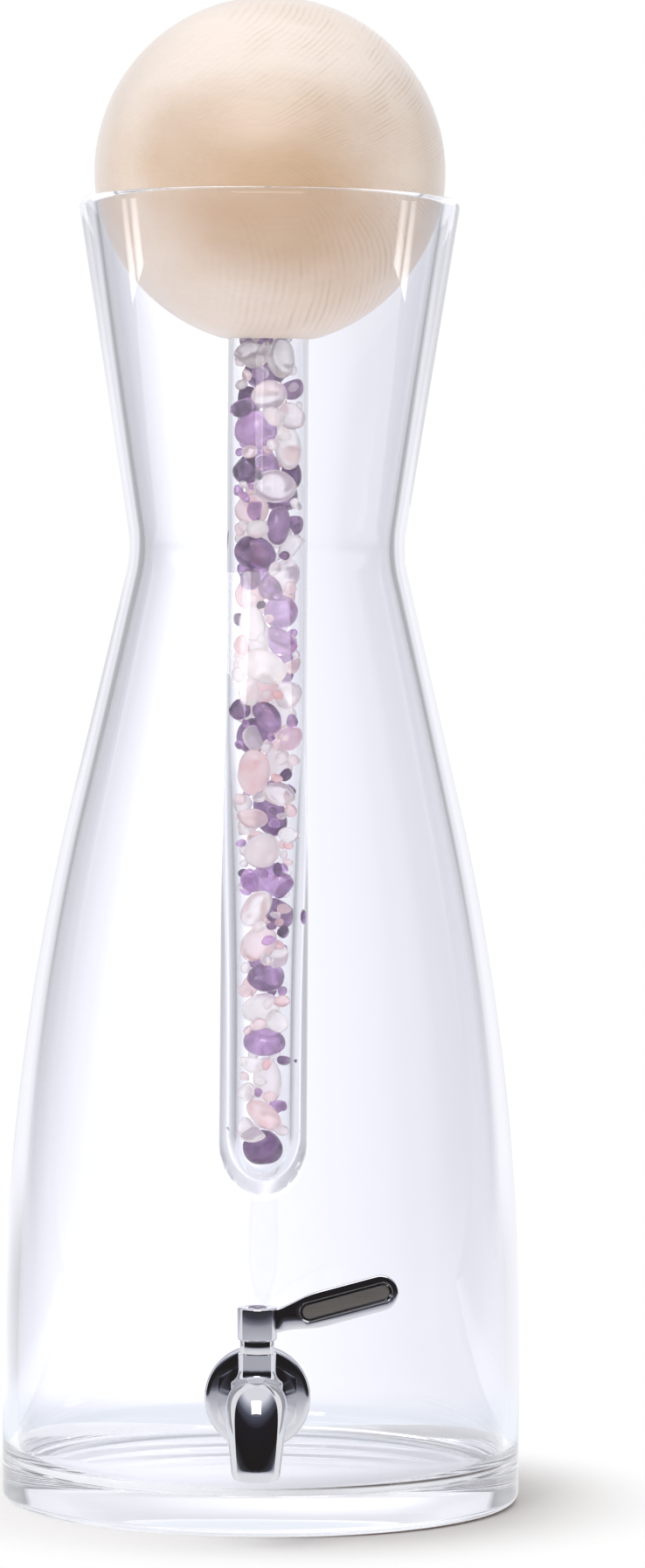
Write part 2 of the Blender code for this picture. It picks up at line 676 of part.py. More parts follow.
def lever_outline():
    """The arm seen from the front, along its own length: a narrow neck that opens to a round paddle."""
    tip = LEVER_REACH / math.cos(LEVER_TILT) - LEVER_PADDLE_WIDTH / 2
    flank = [(0.0, LEVER_NECK_WIDTH / 2)]
    for step in range(LEVER_FLANK_STEPS + 1):
        t = step / LEVER_FLANK_STEPS
        along = LEVER_NECK_END + (LEVER_PADDLE_START - LEVER_NECK_END) * t
        width = LEVER_NECK_WIDTH + (LEVER_PADDLE_WIDTH - LEVER_NECK_WIDTH) * t * t * (3 - 2 * t)
        flank.append((along, width / 2))
    lower = [(along, -half) for along, half in flank]
    end = arc((tip, 0.0), LEVER_PADDLE_WIDTH / 2, -math.pi / 2, math.pi / 2, LEVER_END_STEPS)
    return lower + end + flank[::-1]


def inlay_outline(shrink):
    tip = LEVER_REACH / math.cos(LEVER_TILT) - INLAY_MARGIN
    radius = INLAY_WIDTH / 2
    first, last = (INLAY_START, 0.0), (tip - radius, 0.0)
    round_end = arc(last, radius - shrink, -math.pi / 2, math.pi / 2, INLAY_END_STEPS)
    round_start = arc(first, radius - shrink, math.pi / 2, 3 * math.pi / 2, INLAY_END_STEPS)
    return round_end + round_start


def on_lever(bm, stack):
    """Turns a flat shape upright, tilts it, and sets it at the arm's root on the hub."""
    turn = Matrix.Rotation(-LEVER_TILT, 4, "Y") @ Matrix.Rotation(math.pi / 2, 4, "X")
    root = Matrix.Translation((0.0, 0.0, stack.hub_foot + LEVER_ROOT_HEIGHT))
    bmesh.ops.transform(bm, matrix=root @ turn, verts=bm.verts)
    return bm


def make_lever(stack, valve_axis):
    rounded = [(0.0, stack.hub_foot), (HUB_RADIUS, stack.hub_foot)]
    round_middle = (HUB_RADIUS - HUB_ROUND, stack.hub_top - HUB_ROUND)
    rounded += arc(round_middle, HUB_ROUND, 0.0, math.pi / 2, HUB_ROUND_STEPS)
    rounded += [(0.0, stack.hub_top)]
    handle = place("lever_handle", turned(rounded, TAP_FACETS), valve_axis, "polished_steel")
    half = LEVER_THICKNESS / 2
    arm = on_lever(extruded(lever_outline(), -half, half), stack)
    combine(handle, "UNION", place("arm_tool", arm, valve_axis))

    recess = on_lever(extruded(inlay_outline(0.0), half - INLAY_DEPTH, half + CUT_OVERRUN), stack)
    side = DRIVE_SIDE + 2 * GAP
    socket_foot, socket_top = stack.gland_foot, stack.drive_top + GAP
    socket_middle = (socket_foot + socket_top) / 2
    socket = block((side, side, socket_top - socket_foot), (0.0, 0.0, socket_middle))
    head_seat = stack.hub_top - SCREW_HEAD_SINK - SCREW_HEAD_HEIGHT - GAP
    well = [
        (0.0, stack.hub_foot),
        (SCREW_RADIUS + GAP, stack.hub_foot),
        (SCREW_RADIUS + GAP, head_seat),
        (SCREW_HEAD_RADIUS + GAP, head_seat),
        (SCREW_HEAD_RADIUS + GAP, stack.hub_top + CUT_OVERRUN),
        (0.0, stack.hub_top + CUT_OVERRUN),
    ]
    pin_hole = rod(PIN_RADIUS + GAP, stack.gland_top - PIN_DROP, stack.hub_foot + PIN_SEAT + GAP)
    bmesh.ops.translate(pin_hole, verts=pin_hole.verts, vec=(0.0, PIN_CIRCLE, 0.0))
    combine(
        handle,
        "DIFFERENCE",
        place("inlay_recess_cutter", recess, valve_axis),
        place("drive_socket_cutter", socket, valve_axis),
        place("screw_well_cutter", turned(well, SMALL_FACETS), valve_axis),
        place("pin_hole_cutter", pin_hole, valve_axis),
    )

    inlay = extruded(inlay_outline(GAP), half - INLAY_DEPTH + GAP, half - INLAY_SINK)
    place("lever_inlay", on_lever(inlay, stack), valve_axis, "satin_grey")

    head_foot = head_seat + GAP
    head_top = head_foot + SCREW_HEAD_HEIGHT
    screw = [
        (0.0, head_foot - SCREW_LENGTH),
        (SCREW_RADIUS, head_foot - SCREW_LENGTH),
        (SCREW_RADIUS, head_foot),
        (SCREW_HEAD_RADIUS, head_foot),
        (SCREW_HEAD_RADIUS, head_top),
        (0.0, head_top),
    ]
    place("handle_screw", turned(screw, SMALL_FACETS), valve_axis, "polished_steel")

    pin = rod(PIN_RADIUS, stack.gland_top - PIN_DROP, stack.hub_foot + PIN_SEAT)
    bmesh.ops.translate(pin, verts=pin.verts, vec=(0.0, PIN_CIRCLE, 0.0))
    place("stop_pin", pin, valve_axis, "polished_steel")


class LidStack:
    """Heights of the lid's pieces below or above the middle of its ball."""

    def __init__(self):
        self.socket_radius = VIAL_NECK_RADIUS + GAP
        self.flat_radius = self.socket_radius + SOCKET_LAND
        self.flat = -math.sqrt(LID_RADIUS**2 - self.flat_radius**2)
        self.vial_foot = self.flat - VIAL_DROP
        self.vial_top = self.flat + VIAL_INSERT
        self.cap_foot = self.vial_top + GAP
        self.cap_top = self.cap_foot + STOPPER_CAP_THICKNESS
        self.socket_top = self.cap_top + GAP
        self.plug_foot = self.vial_top - STOPPER_PLUG_LENGTH
        first = self.flat + GRIP_RING_FIRST
        self.grip_rings = {"lower_grip_ring": first, "upper_grip_ring": first + GRIP_RING_PITCH}
        self.grip_middle = VIAL_NECK_RADIUS + GAP + GRIP_RING_SECTION


def bore_radius(height):
    """The vial's bore above its rounded floor: a narrow foot that opens slowly to the full bore."""
    share = (height - BORE_FLOOR - BORE_ROUND_HEIGHT - BORE_LOWER_HEIGHT) / BORE_TAPER_HEIGHT
    share = min(1.0, max(0.0, share))
    return BORE_LOWER_RADIUS + (BORE_UPPER_RADIUS - BORE_LOWER_RADIUS) * share**2


def round_foot(radius, height, steps):
    """A quarter of an ellipse, from its lowest point on the axis out to its full radius."""
    turns = [math.pi / 2 * step / steps for step in range(1, steps + 1)]
    return [(0.0, 0.0)] + [(radius * math.sin(t), height * (1 - math.cos(t))) for t in turns]


def vial_bore(top):
    """(radius, height) from the bore's lowest point up to a height above the vial's foot."""
    foot = round_foot(BORE_LOWER_RADIUS, BORE_ROUND_HEIGHT, BORE_ROUND_STEPS)
    foot = [(r, BORE_FLOOR + z) for r, z in foot]
    taper_start = BORE_FLOOR + BORE_ROUND_HEIGHT + BORE_LOWER_HEIGHT
    shares = [step / BORE_TAPER_STEPS for step in range(BORE_TAPER_STEPS + 1)]
    heights = [taper_start + BORE_TAPER_HEIGHT * share for share in shares]
    return foot + [(bore_radius(z), z) for z in heights + [top]]


def make_lid(lid, lid_axis):
    ring_half = GRIP_RING_SECTION + GAP
    groove_radius = lid.grip_middle + GRIP_RING_SECTION + GAP
    cap_radius = max(lid.socket_radius, VIAL_NECK_RADIUS + STOPPER_CAP_OVERHANG + GAP)
    profile = [(0.0, lid.socket_top), (cap_radius, lid.socket_top), (cap_radius, lid.vial_top)]
    profile += [(lid.socket_radius, lid.vial_top)] if cap_radius > lid.socket_radius else []
    for height in sorted(lid.grip_rings.values(), reverse=True):
        profile += [
            (lid.socket_radius, height + ring_half),
            (groove_radius, height + ring_half),
            (groove_radius, height - ring_half),
            (lid.socket_radius, height - ring_half),
        ]
    profile += [(lid.socket_radius, lid.flat)]
    start = math.atan2(lid.flat, lid.flat_radius)
    profile += arc((0.0, 0.0), LID_RADIUS, start, math.pi / 2, LID_STEPS)
    profile[-1] = (0.0, LID_RADIUS)
    place("lid_ball", turned(profile, LID_FACETS), lid_axis, "pale_wood")

    for name, height in lid.grip_rings.items():
        ring = seal_ring(GRIP_RING_SECTION, lid.grip_middle, height, VIAL_FACETS)
        place(name, ring, lid_axis, "clear_silicone")


def make_vial(lid, lid_axis):
    outer = round_foot(VIAL_BELLY_RADIUS, VIAL_ROUND_HEIGHT, VIAL_ROUND_STEPS)
    length = lid.vial_top - lid.vial_foot
    outer += [
        (VIAL_BELLY_RADIUS, VIAL_BELLY_HEIGHT),
        (VIAL_NECK_RADIUS, VIAL_BELLY_HEIGHT + VIAL_TAPER_HEIGHT),
        (VIAL_NECK_RADIUS, length),
    ]
    profile = [(r, z + lid.vial_foot) for r, z in outer + vial_bore(length)[::-1]]
    place("vial", turned(profile, VIAL_FACETS), lid_axis, "clear_glass")

    plug_radius = BORE_UPPER_RADIUS - GAP
    cap_radius = VIAL_NECK_RADIUS + STOPPER_CAP_OVERHANG
    stopper = [
        (0.0, lid.plug_foot),
        (plug_radius, lid.plug_foot),
        (plug_radius, lid.cap_foot),
        (cap_radius, lid.cap_foot),
        (cap_radius, lid.cap_top),
        (0.0, lid.cap_top),
    ]
    place("vial_stopper", turned(stopper, VIAL_FACETS), lid_axis, "clear_silicone")


def pebble(rng):
    """A tumbled stone about its own middle: a lumpy, turned ellipsoid of few facets."""
    bm = bmesh.new()
    bmesh.ops.create_icosphere(bm, subdivisions=STONE_SPLIT_STEPS, radius=1.0)
    size = np.array([STONE_LONG, STONE_WIDE, STONE_THICK])
    size = size * (1 + STONE_SIZE_SPREAD * rng.uniform(-1, 1, 3))
    waves = rng.normal(0.0, STONE_LUMP_WAVES, (3, 3))
    phases = rng.uniform(0.0, math.tau, 3)
    turn = np.array(Vector(rng.normal(size=3)).rotation_difference(Vector((0, 0, 1))).to_matrix())
    for vert in bm.verts:
        direction = np.array(vert.co)
        lump = 1 + STONE_LUMP * np.sin(waves @ direction + phases).sum()
        vert.co = Vector(turn @ (direction * size * lump))
    return bm


def level_directions():
    """Evenly spread unit vectors, for measuring how far a stone reaches each way."""
    bm = bmesh.new()
    bmesh.ops.create_icosphere(bm, subdivisions=DIRECTION_SPLIT_STEPS, radius=1.0)
    directions = np.array([vert.co.normalized() for vert in bm.verts])
    bm.free()
    return directions


def landing_height(spot, middle, reach, directions):
    """Lowest height above one settled stone for a new one over this spot, or none if it passes by."""
    aside = directions[:, :2] @ (spot - middle[:2])
    room = reach - aside
    slope = directions[:, 2]
    level = np.abs(slope) < MERGE_DISTANCE
    if (room[level] < 0).any():
        return -math.inf
    heights = room[~level] / slope[~level]
    top = heights[slope[~level] > 0].min()
    bottom = heights[slope[~level] < 0].max()
    return middle[2] + top if bottom < top else -math.inf


def landing_spots():
    """Places across the bore where a stone may come to lie: the middle, and rings round it."""
    rings = int((BORE_UPPER_RADIUS - STONE_THICK) / STONE_SPOT_PITCH)
    turns = [math.tau * spot / STONE_SPOTS_ROUND for spot in range(STONE_SPOTS_ROUND)]
    spots = [(0.0, 0.0)]
    for ring in range(1, rings + 1):
        radius = STONE_SPOT_PITCH * ring
        spots += [(radius * math.cos(t), radius * math.sin(t)) for t in turns]
    return np.array(spots)


def settled_stones(lid):
    """Drops each stone to the lowest free place in the bore, until the vial is full."""
    rng = np.random.default_rng(STONE_SEED)
    directions = level_directions()
    top = lid.plug_foot - lid.vial_foot - GAP
    radii, heights = np.array(vial_bore(top)).T
    radii = radii * math.cos(math.pi / VIAL_FACETS) - GAP
    spots = landing_spots()
    settled = []
    for _ in range(STONE_LIMIT):
        bm = pebble(rng)
        points = np.array([vert.co for vert in bm.verts])
        reach_down = (-directions @ points.T).max(axis=1)
        best = (math.inf, None)
        for spot in spots:
            aside = np.hypot(*(points[:, :2] + spot).T)
            if aside.max() >= radii.max():
                continue
            height = (np.interp(aside, radii, heights) - points[:, 2]).max()
            for middle, reach in settled:
                reach_both = reach + reach_down + GAP
                height = max(height, landing_height(spot, middle, reach_both, directions))
            best = min(best, (height, tuple(spot)))
        height, spot = best
        if spot is None or height + points[:, 2].max() > top:
            bm.free()
            break
        middle = np.array([*spot, height])
        settled.append((middle, (directions @ points.T).max(axis=1)))
        bmesh.ops.translate(bm, verts=bm.verts, vec=Vector(middle) + Vector((0, 0, lid.vial_foot)))
        yield bm


def make_stones(lid, lid_axis):
    kinds = ("amethyst", "rose_quartz", "clear_quartz", "amethyst", "clear_quartz")
    for number, stone in enumerate(settled_stones(lid)):
        kind = kinds[number % len(kinds)]
        place(f"stone_{number + 1:02d}_{kind}", stone, lid_axis, kind)


def main():
    clear_scene()
    carafe = Carafe()
    stack = TapStack(carafe)
    lid = LidStack()
    root = frame("carafe_frame", (0.0, 0.0, 0.0))
    tap_frame = frame("tap_frame", (0.0, 0.0, TAP_HEIGHT), (math.pi / 2, 0.0, 0.0))
    valve_axis = frame("valve_axis", (0.0, -stack.valve, TAP_HEIGHT))
    lid_axis = frame("lid_axis", (0.0, 0.0, carafe.lid_height()))

    make_carafe(carafe, root, tap_frame)
    make_gaskets(carafe, stack, root, tap_frame)
    make_fixings(stack, tap_frame)
    make_shank(stack, tap_frame)
    make_tap_body(stack, tap_frame, valve_axis)
    make_seats(stack, tap_frame, valve_axis)
    make_gland(stack, valve_axis)
    make_valve(stack, valve_axis)
    make_lever(stack, valve_axis)
    make_lid(lid, lid_axis)
    make_vial(lid, lid_axis)
    make_stones(lid, lid_axis)
    print(f"tap's valve axis {stack.valve:.5f} m in front, lid's middle at {carafe.lid_height():.5f} m")


main()
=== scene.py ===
import json
import math

import bmesh
import bpy
import numpy as np
from mathutils import Matrix, Vector
from mathutils.bvhtree import BVHTree


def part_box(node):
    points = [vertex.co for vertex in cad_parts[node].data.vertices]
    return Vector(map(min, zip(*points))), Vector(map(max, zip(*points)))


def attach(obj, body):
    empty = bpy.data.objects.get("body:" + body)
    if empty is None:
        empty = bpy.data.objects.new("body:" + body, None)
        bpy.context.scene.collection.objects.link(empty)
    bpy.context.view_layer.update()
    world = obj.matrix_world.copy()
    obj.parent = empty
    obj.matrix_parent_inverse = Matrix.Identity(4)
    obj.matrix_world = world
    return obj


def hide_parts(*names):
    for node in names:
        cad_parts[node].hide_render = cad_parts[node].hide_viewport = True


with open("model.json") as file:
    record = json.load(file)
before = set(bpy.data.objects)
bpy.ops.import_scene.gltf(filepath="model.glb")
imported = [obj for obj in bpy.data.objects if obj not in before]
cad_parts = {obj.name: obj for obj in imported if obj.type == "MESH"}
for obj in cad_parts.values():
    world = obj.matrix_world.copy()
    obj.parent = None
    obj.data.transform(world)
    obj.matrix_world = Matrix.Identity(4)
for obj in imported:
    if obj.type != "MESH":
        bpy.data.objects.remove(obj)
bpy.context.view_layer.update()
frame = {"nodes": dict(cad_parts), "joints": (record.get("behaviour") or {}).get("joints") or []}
cadNodes = frame["nodes"]
scene = bpy.context.scene


# Drawing a profile with a pen in the XZ plane: x is the radius or length, z the height

def penAt(bm, x, z):
    return bm.verts.new((x, 0, z))


def lineTo(bm, pen, x, z):
    pen = bmesh.ops.extrude_vert_indiv(bm, verts=[pen])["verts"][0]
    pen.co = (x, 0, z)
    return pen


def lineThrough(bm, pen, *points):
    for point in points:
        pen = lineTo(bm, pen, *point)
    return pen


def arcTo(bm, pen, x, z, degrees, steps):  # about (x, z), anticlockwise for plus degrees
    turn = math.radians(degrees)
    made = bmesh.ops.spin(bm, geom=[pen], cent=(x, 0, z), axis=(0, -1, 0), angle=turn, steps=steps)
    return made["geom_last"][0]


def curveTo(bm, pen, rule, steps):  # rule gives (x, z) for a share from 0 to 1
    for step in range(1, steps + 1):
        pen = lineTo(bm, pen, *rule(step / steps))
    return pen


def closeLine(bm, pen, first):
    bm.edges.new((pen, first))


def spinUpright(bm, steps):  # turns the drawn profile about Z
    line = bm.verts[:] + bm.edges[:]
    bmesh.ops.spin(bm, geom=line, cent=(0, 0, 0), axis=(0, 0, 1), angle=math.tau, steps=steps, use_merge=True)
    bmesh.ops.remove_doubles(bm, verts=bm.verts, dist=1e-6)
    bmesh.ops.recalc_face_normals(bm, faces=bm.faces)
    return bm


def ringOf(points, steps):  # a closed profile turned into a ring
    bm = bmesh.new()
    first = penAt(bm, *points[0])
    closeLine(bm, lineThrough(bm, first, *points[1:]), first)
    return spinUpright(bm, steps)


def vertsOf(items):
    return [item for item in items if isinstance(item, bmesh.types.BMVert)]


def shift(bm, vec, verts=None):
    bmesh.ops.translate(bm, verts=bm.verts if verts is None else verts, vec=vec)
    return bm


def thicken(bm, start, depth):  # the drawn face becomes a solid from start on
    made = bmesh.ops.extrude_face_region(bm, geom=bm.faces[:])["geom"]
    shift(bm, depth, vertsOf(made))
    shift(bm, start)
    bmesh.ops.recalc_face_normals(bm, faces=bm.faces)
    return bm


def plateOf(bm, depth):  # fills the drawn outline and gives it thickness along Y, about its plane
    bmesh.ops.contextual_create(bm, geom=bm.edges[:])
    return thicken(bm, (0, -depth / 2, 0), (0, depth, 0))


def hexOf(acrossFlats, low, high):  # a prism along Z with a corner on +Y
    bm = bmesh.new()
    bmesh.ops.create_circle(bm, cap_ends=True, segments=6, radius=acrossFlats / math.sqrt(3))
    return thicken(bm, (0, 0, low), (0, 0, high - low))


def rodOf(radius, low, high, steps):
    bm = bmesh.new()
    along = Matrix.Translation((0, 0, (low + high) / 2))
    bmesh.ops.create_cone(bm, cap_ends=True, segments=steps, radius1=radius, radius2=radius,
                          depth=high - low, matrix=along)
    return bm


def roundEdges(bm, width, steps, degrees=30):
    sharp = [edge for edge in bm.edges
             if len(edge.link_faces) == 2 and edge.calc_face_angle() > math.radians(degrees)]
    bmesh.ops.bevel(bm, geom=sharp, offset=width, segments=steps, profile=0.5, affect="EDGES",
                    material=-1, clamp_overlap=True)
    return bm


# Bringing shapes together, through objects that are gone afterwards

def asObject(bm, name="shape"):
    mesh = bpy.data.meshes.new(name)
    bm.to_mesh(mesh)
    bm.free()
    made = bpy.data.objects.new(name, mesh)
    scene.collection.objects.link(made)
    return made


def settled(shape, *tools):  # the shape with its modifiers applied, as a bmesh again
    graph = bpy.context.evaluated_depsgraph_get()
    bm = bmesh.new()
    bm.from_mesh(shape.evaluated_get(graph).to_mesh())
    for used in (shape, *tools):
        mesh = used.data
        bpy.data.objects.remove(used)
        bpy.data.meshes.remove(mesh)
    return bm


def combined(bm, operation, *tools):
    shape = asObject(bm)
    helpers = [asObject(tool, "tool") for tool in tools]
    for helper in helpers:
        cut = shape.modifiers.new("cut", "BOOLEAN")
        cut.operation = operation
        cut.solver = "EXACT"
        cut.object = helper
    return settled(shape, *helpers)


def join(bm, other):  # lays a second shape into the first
    mesh = bpy.data.meshes.new("part")
    other.to_mesh(mesh)
    other.free()
    bm.from_mesh(mesh)
    bpy.data.meshes.remove(mesh)


def fused(bm, voxel, rounds):  # overlapping closed shapes melted into one skin with soft fillets
    shape = asObject(bm)
    melt = shape.modifiers.new("melt", "REMESH")
    melt.mode = "VOXEL"
    melt.voxel_size = voxel
    soften = shape.modifiers.new("soften", "SMOOTH")
    soften.factor = 0.5
    soften.iterations = rounds
    return settled(shape)


def trimmed(bm, point, outward):  # cuts off what lies outward of the point and closes the cut flat
    everything = bm.verts[:] + bm.edges[:] + bm.faces[:]
    made = bmesh.ops.bisect_plane(bm, geom=everything, dist=1e-7, plane_co=point, plane_no=outward,
                                  clear_outer=True)
    rim = [item for item in made["geom_cut"] if isinstance(item, bmesh.types.BMEdge)]
    return bmesh.ops.holes_fill(bm, edges=rim, sides=0)["faces"]


def layLevel(bm, height):  # from the drawing's upright axis to the tap's level one, front to -Y
    turn = Matrix.Translation((0, 0, height)) @ Matrix.Rotation(math.pi / 2, 4, "X")
    bmesh.ops.transform(bm, matrix=turn, verts=bm.verts)
    return bm


def addPiece(name, bm, body, material, replaced=(), sharp=35):
    bmesh.ops.dissolve_degenerate(bm, dist=1e-6, edges=bm.edges)
    piece = asObject(bm, name)
    piece.data.shade_smooth()
    piece.data.set_sharp_from_angle(angle=math.radians(sharp))
    piece.data.materials.append(material)
    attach(piece, body)
    if replaced:
        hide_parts(*replaced)
    return piece


def addSteel(name, bm, body, node, sharp=35):
    addPiece(name, bm, body, polishedSteel, [node], sharp)


def mergedCopy(node):  # a CAD node's loose triangles as one skin
    bm = bmesh.new()
    bm.from_mesh(cadNodes[node].data)
    bmesh.ops.remove_doubles(bm, verts=bm.verts, dist=1e-6)
    return bm


def levelSpan(node):  # where a node of the tap's level axis starts and ends in front of the carafe's axis
    low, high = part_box(node)
    return -high.y, -low.y, (high.x - low.x) / 2


def uprightSpan(node):
    low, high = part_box(node)
    return low.z, high.z, (high.x - low.x) / 2


# Material tools

def newMaterial(name):
    material = bpy.data.materials.new(name)
    material.use_nodes = True
    return material, material.node_tree, material.node_tree.nodes["Principled BSDF"]


def feed(tree, node, inputs):  # links from other nodes, or plain values
    for key, value in inputs.items():
        socket = node.inputs[key]
        if isinstance(value, bpy.types.NodeSocket):
            tree.links.new(value, socket)
        else:
            socket.default_value = (*value, 1) if socket.type == "RGBA" else value


def addNode(tree, kind, inputs=None, **settings):
    node = tree.nodes.new(kind)
    for key, value in settings.items():
        setattr(node, key, value)
    feed(tree, node, inputs or {})
    return node


def addMath(tree, operation, first, second=0.0, third=0.0):
    return addNode(tree, "ShaderNodeMath", {0: first, 1: second, 2: third}, operation=operation).outputs[0]


def addProduct(tree, first, *others):
    for other in others:
        first = addMath(tree, "MULTIPLY", first, other)
    return first


def addVector(tree, operation, inputs):
    return addNode(tree, "ShaderNodeVectorMath", inputs, operation=operation).outputs


def addMix(tree, share, first, second):
    return addNode(tree, "ShaderNodeMix", {0: share, 6: first, 7: second}, data_type="RGBA").outputs[2]


def addRange(tree, value, span, to=(0.0, 1.0)):
    return addNode(tree, "ShaderNodeMapRange", {"Value": value, "From Min": span[0], "From Max": span[1],
                   "To Min": to[0], "To Max": to[1]}).outputs[0]


def addStep(tree, value, span, to=(0.0, 1.0)):  # the same with soft ends
    made = addRange(tree, value, span, to)
    made.node.interpolation_type = "SMOOTHSTEP"
    return made


def addNoise(tree, point, scale, detail, **more):
    inputs = {"Vector": point, "Scale": scale, "Detail": detail, **more}
    return addNode(tree, "ShaderNodeTexNoise", inputs).outputs["Fac"]


def addGlow(tree, colour):
    return addNode(tree, "ShaderNodeEmission", {"Color": colour, "Strength": 1.0}).outputs[0]


def blend(tree, share, first, second):
    return addNode(tree, "ShaderNodeMixShader", {0: share, 1: first, 2: second}).outputs[0]


def setSurface(tree, surface):
    tree.links.new(surface, tree.nodes["Material Output"].inputs["Surface"])


def lightPath(tree):
    return addNode(tree, "ShaderNodeLightPath").outputs


def objectPoint(tree):
    return addNode(tree, "ShaderNodeTexCoord").outputs["Object"]


def splitPoint(tree, point):
    return addNode(tree, "ShaderNodeSeparateXYZ", {0: point}).outputs


hazeRule = dict(detail=4.0, breakup=0.6, span=(0.35, 0.7), fineTimes=7.0, fineDetail=3.0)


def makeHazeGroup(h):  # slow changes of polish over a surface, with the finest ripples as height
    group = bpy.data.node_groups.new("polishHaze", "ShaderNodeTree")
    for name in ("Point", "Scale", "Smooth", "Hazy"):
        kind = "NodeSocketVector" if name == "Point" else "NodeSocketFloat"
        group.interface.new_socket(name, in_out="INPUT", socket_type=kind)
    for name in ("Roughness", "Height", "Mask"):
        group.interface.new_socket(name, in_out="OUTPUT", socket_type="NodeSocketFloat")
    given = group.nodes.new("NodeGroupInput").outputs
    slow = addNoise(group, given["Point"], given["Scale"], h["detail"], Roughness=h["breakup"])
    fineScale = addMath(group, "MULTIPLY", given["Scale"], h["fineTimes"])
    fine = addNoise(group, given["Point"], fineScale, h["fineDetail"])
    rough = addRange(group, slow, h["span"], (given["Smooth"], given["Hazy"]))
    addNode(group, "NodeGroupOutput", {"Roughness": rough, "Height": fine, "Mask": slow})
    return group


hazeGroup = makeHazeGroup(hazeRule)


def addHaze(tree, scale, smooth, hazy):
    return addNode(tree, "ShaderNodeGroup", {"Point": objectPoint(tree), "Scale": scale,
                   "Smooth": smooth, "Hazy": hazy}, node_tree=hazeGroup).outputs


def addBump(tree, shader, height, strength, distance):
    bump = addNode(tree, "ShaderNodeBump", {"Height": height, "Strength": strength, "Distance": distance})
    feed(tree, shader, {"Normal": bump.outputs["Normal"]})


def passLight(tree, shader, tint):  # lamps and soft light go straight through a clear piece
    path = lightPath(tree)
    clear = addNode(tree, "ShaderNodeBsdfTransparent", {"Color": tint}).outputs[0]
    surface = shader.outputs[0]
    for ray in ("Is Diffuse Ray", "Is Shadow Ray"):
        surface = blend(tree, path[ray], surface, clear)
    setSurface(tree, surface)


def letLampsThrough(tree, shader, look):  # less gets through a thick foot on its shadow side
    point = objectPoint(tree)
    across, _, height = splitPoint(tree, point)
    level = addVector(tree, "MULTIPLY", {0: point, 1: (1, 1, 0)})[0]
    aside = addVector(tree, "LENGTH", {0: level})["Value"]
    low = addStep(tree, height, (look["footTop"], look["footTop"] / 3))
    outer = addStep(tree, aside, (look["footEdge"], look["footEdge"] + look["footSoft"]))
    shaded = addStep(tree, across, look["shadowSide"])
    backfacing = addNode(tree, "ShaderNodeNewGeometry").outputs["Backfacing"]
    foot = addProduct(tree, low, outer, shaded, addMath(tree, "SUBTRACT", 1.0, backfacing))
    passLight(tree, shader, addMix(tree, foot, look["shadowTint"], look["footShadow"]))


def makeGlass(name, look):
    material, tree, shader = newMaterial(name)
    haze = addHaze(tree, look["waviness"], 0.0, 1.0)
    # painted glow: at one ray depth the glass gives off light of its own, standing in for light that is still going
    # round inside the wall after many turns
    late = addMath(tree, "COMPARE", lightPath(tree)["Ray Depth"], look["fillDepth"], 0.5)
    feed(tree, shader, {
        "Base Color": addMix(tree, haze["Mask"], look["tint"], look["paleTint"]),
        "Roughness": 0.0, "IOR": look["ior"], "Transmission Weight": 1.0,
        "Emission Color": addMix(tree, late, (0, 0, 0), look["lateGlowColour"]), "Emission Strength": look["fill"],
    })
    addBump(tree, shader, haze["Mask"], look["ripple"], look["rippleDepth"])
    letLampsThrough(tree, shader, look)
    return material


def makeHazy(name, look):  # steel, and the slightly cloudy silicone and valve plastic
    material, tree, shader = newMaterial(name)
    haze = addHaze(tree, look["hazeScale"], look["smooth"], look["hazy"])
    feed(tree, shader, {
        "Base Color": addMix(tree, haze["Mask"], look["colour"], look["deepColour"]),
        "Roughness": haze["Roughness"], "Metallic": look["metal"], "Transmission Weight": look["clear"],
    })
    addBump(tree, shader, haze["Height"], look["ripple"], look["rippleDepth"])
    return material


glassLook = dict(lateGlowColour=(0.85, 0.85, 0.90), ripple=0.2, footSoft=0.006, shadowSide=(-0.02, 0.05))
carafeLook = dict(glassLook, tint=(0.955, 0.957, 0.985), paleTint=(0.970, 0.972, 0.990), ior=1.5, waviness=9.0,
                  rippleDepth=0.00012, shadowTint=(0.97, 0.97, 0.975), footShadow=(0.06, 0.03, 0.02),
                  footTop=0.10, footEdge=0.080, fillDepth=24, fill=0.4)
vialLook = dict(glassLook, tint=(0.975, 0.976, 0.988), paleTint=(0.990, 0.990, 0.995), ior=1.40, waviness=20.0,
                rippleDepth=0.00005, shadowTint=(0.985, 0.985, 0.99), footShadow=(0.98, 0.98, 0.98),
                footTop=0.02, footEdge=0.010, fillDepth=11, fill=0.9)
steelLook = dict(colour=(0.80, 0.80, 0.83), deepColour=(0.74, 0.74, 0.78), metal=1.0, clear=0.0,
                 hazeScale=60.0, smooth=0.02, hazy=0.06, ripple=0.1, rippleDepth=0.00001)
bareSteelLook = dict(colour=(0.70, 0.70, 0.72), deepColour=(0.60, 0.60, 0.62), metal=1.0, clear=0.0,
                     hazeScale=120.0, smooth=0.16, hazy=0.30, ripple=0.1, rippleDepth=0.00003)
siliconeLook = dict(colour=(0.86, 0.86, 0.85), deepColour=(0.76, 0.77, 0.78), metal=0.0, clear=0.55,
                    hazeScale=150.0, smooth=0.30, hazy=0.48, ripple=0.15, rippleDepth=0.00005)
valveLook = dict(colour=(0.90, 0.90, 0.88), deepColour=(0.84, 0.84, 0.81), metal=0.0, clear=0.0,
                 hazeScale=160.0, smooth=0.32, hazy=0.45, ripple=0.15, rippleDepth=0.00003)

carafeGlass = makeGlass("carafeGlass", carafeLook)
vialGlass = makeGlass("vialGlass", vialLook)
polishedSteel = makeHazy("polishedSteel", steelLook)
bareSteel = makeHazy("bareSteel", bareSteelLook)
clearSilicone = makeHazy("clearSilicone", siliconeLook)
valveWhite = makeHazy("valveWhite", valveLook)


# Carafe: one blown wall, drawn from the middle of its underside up to the rim and down inside

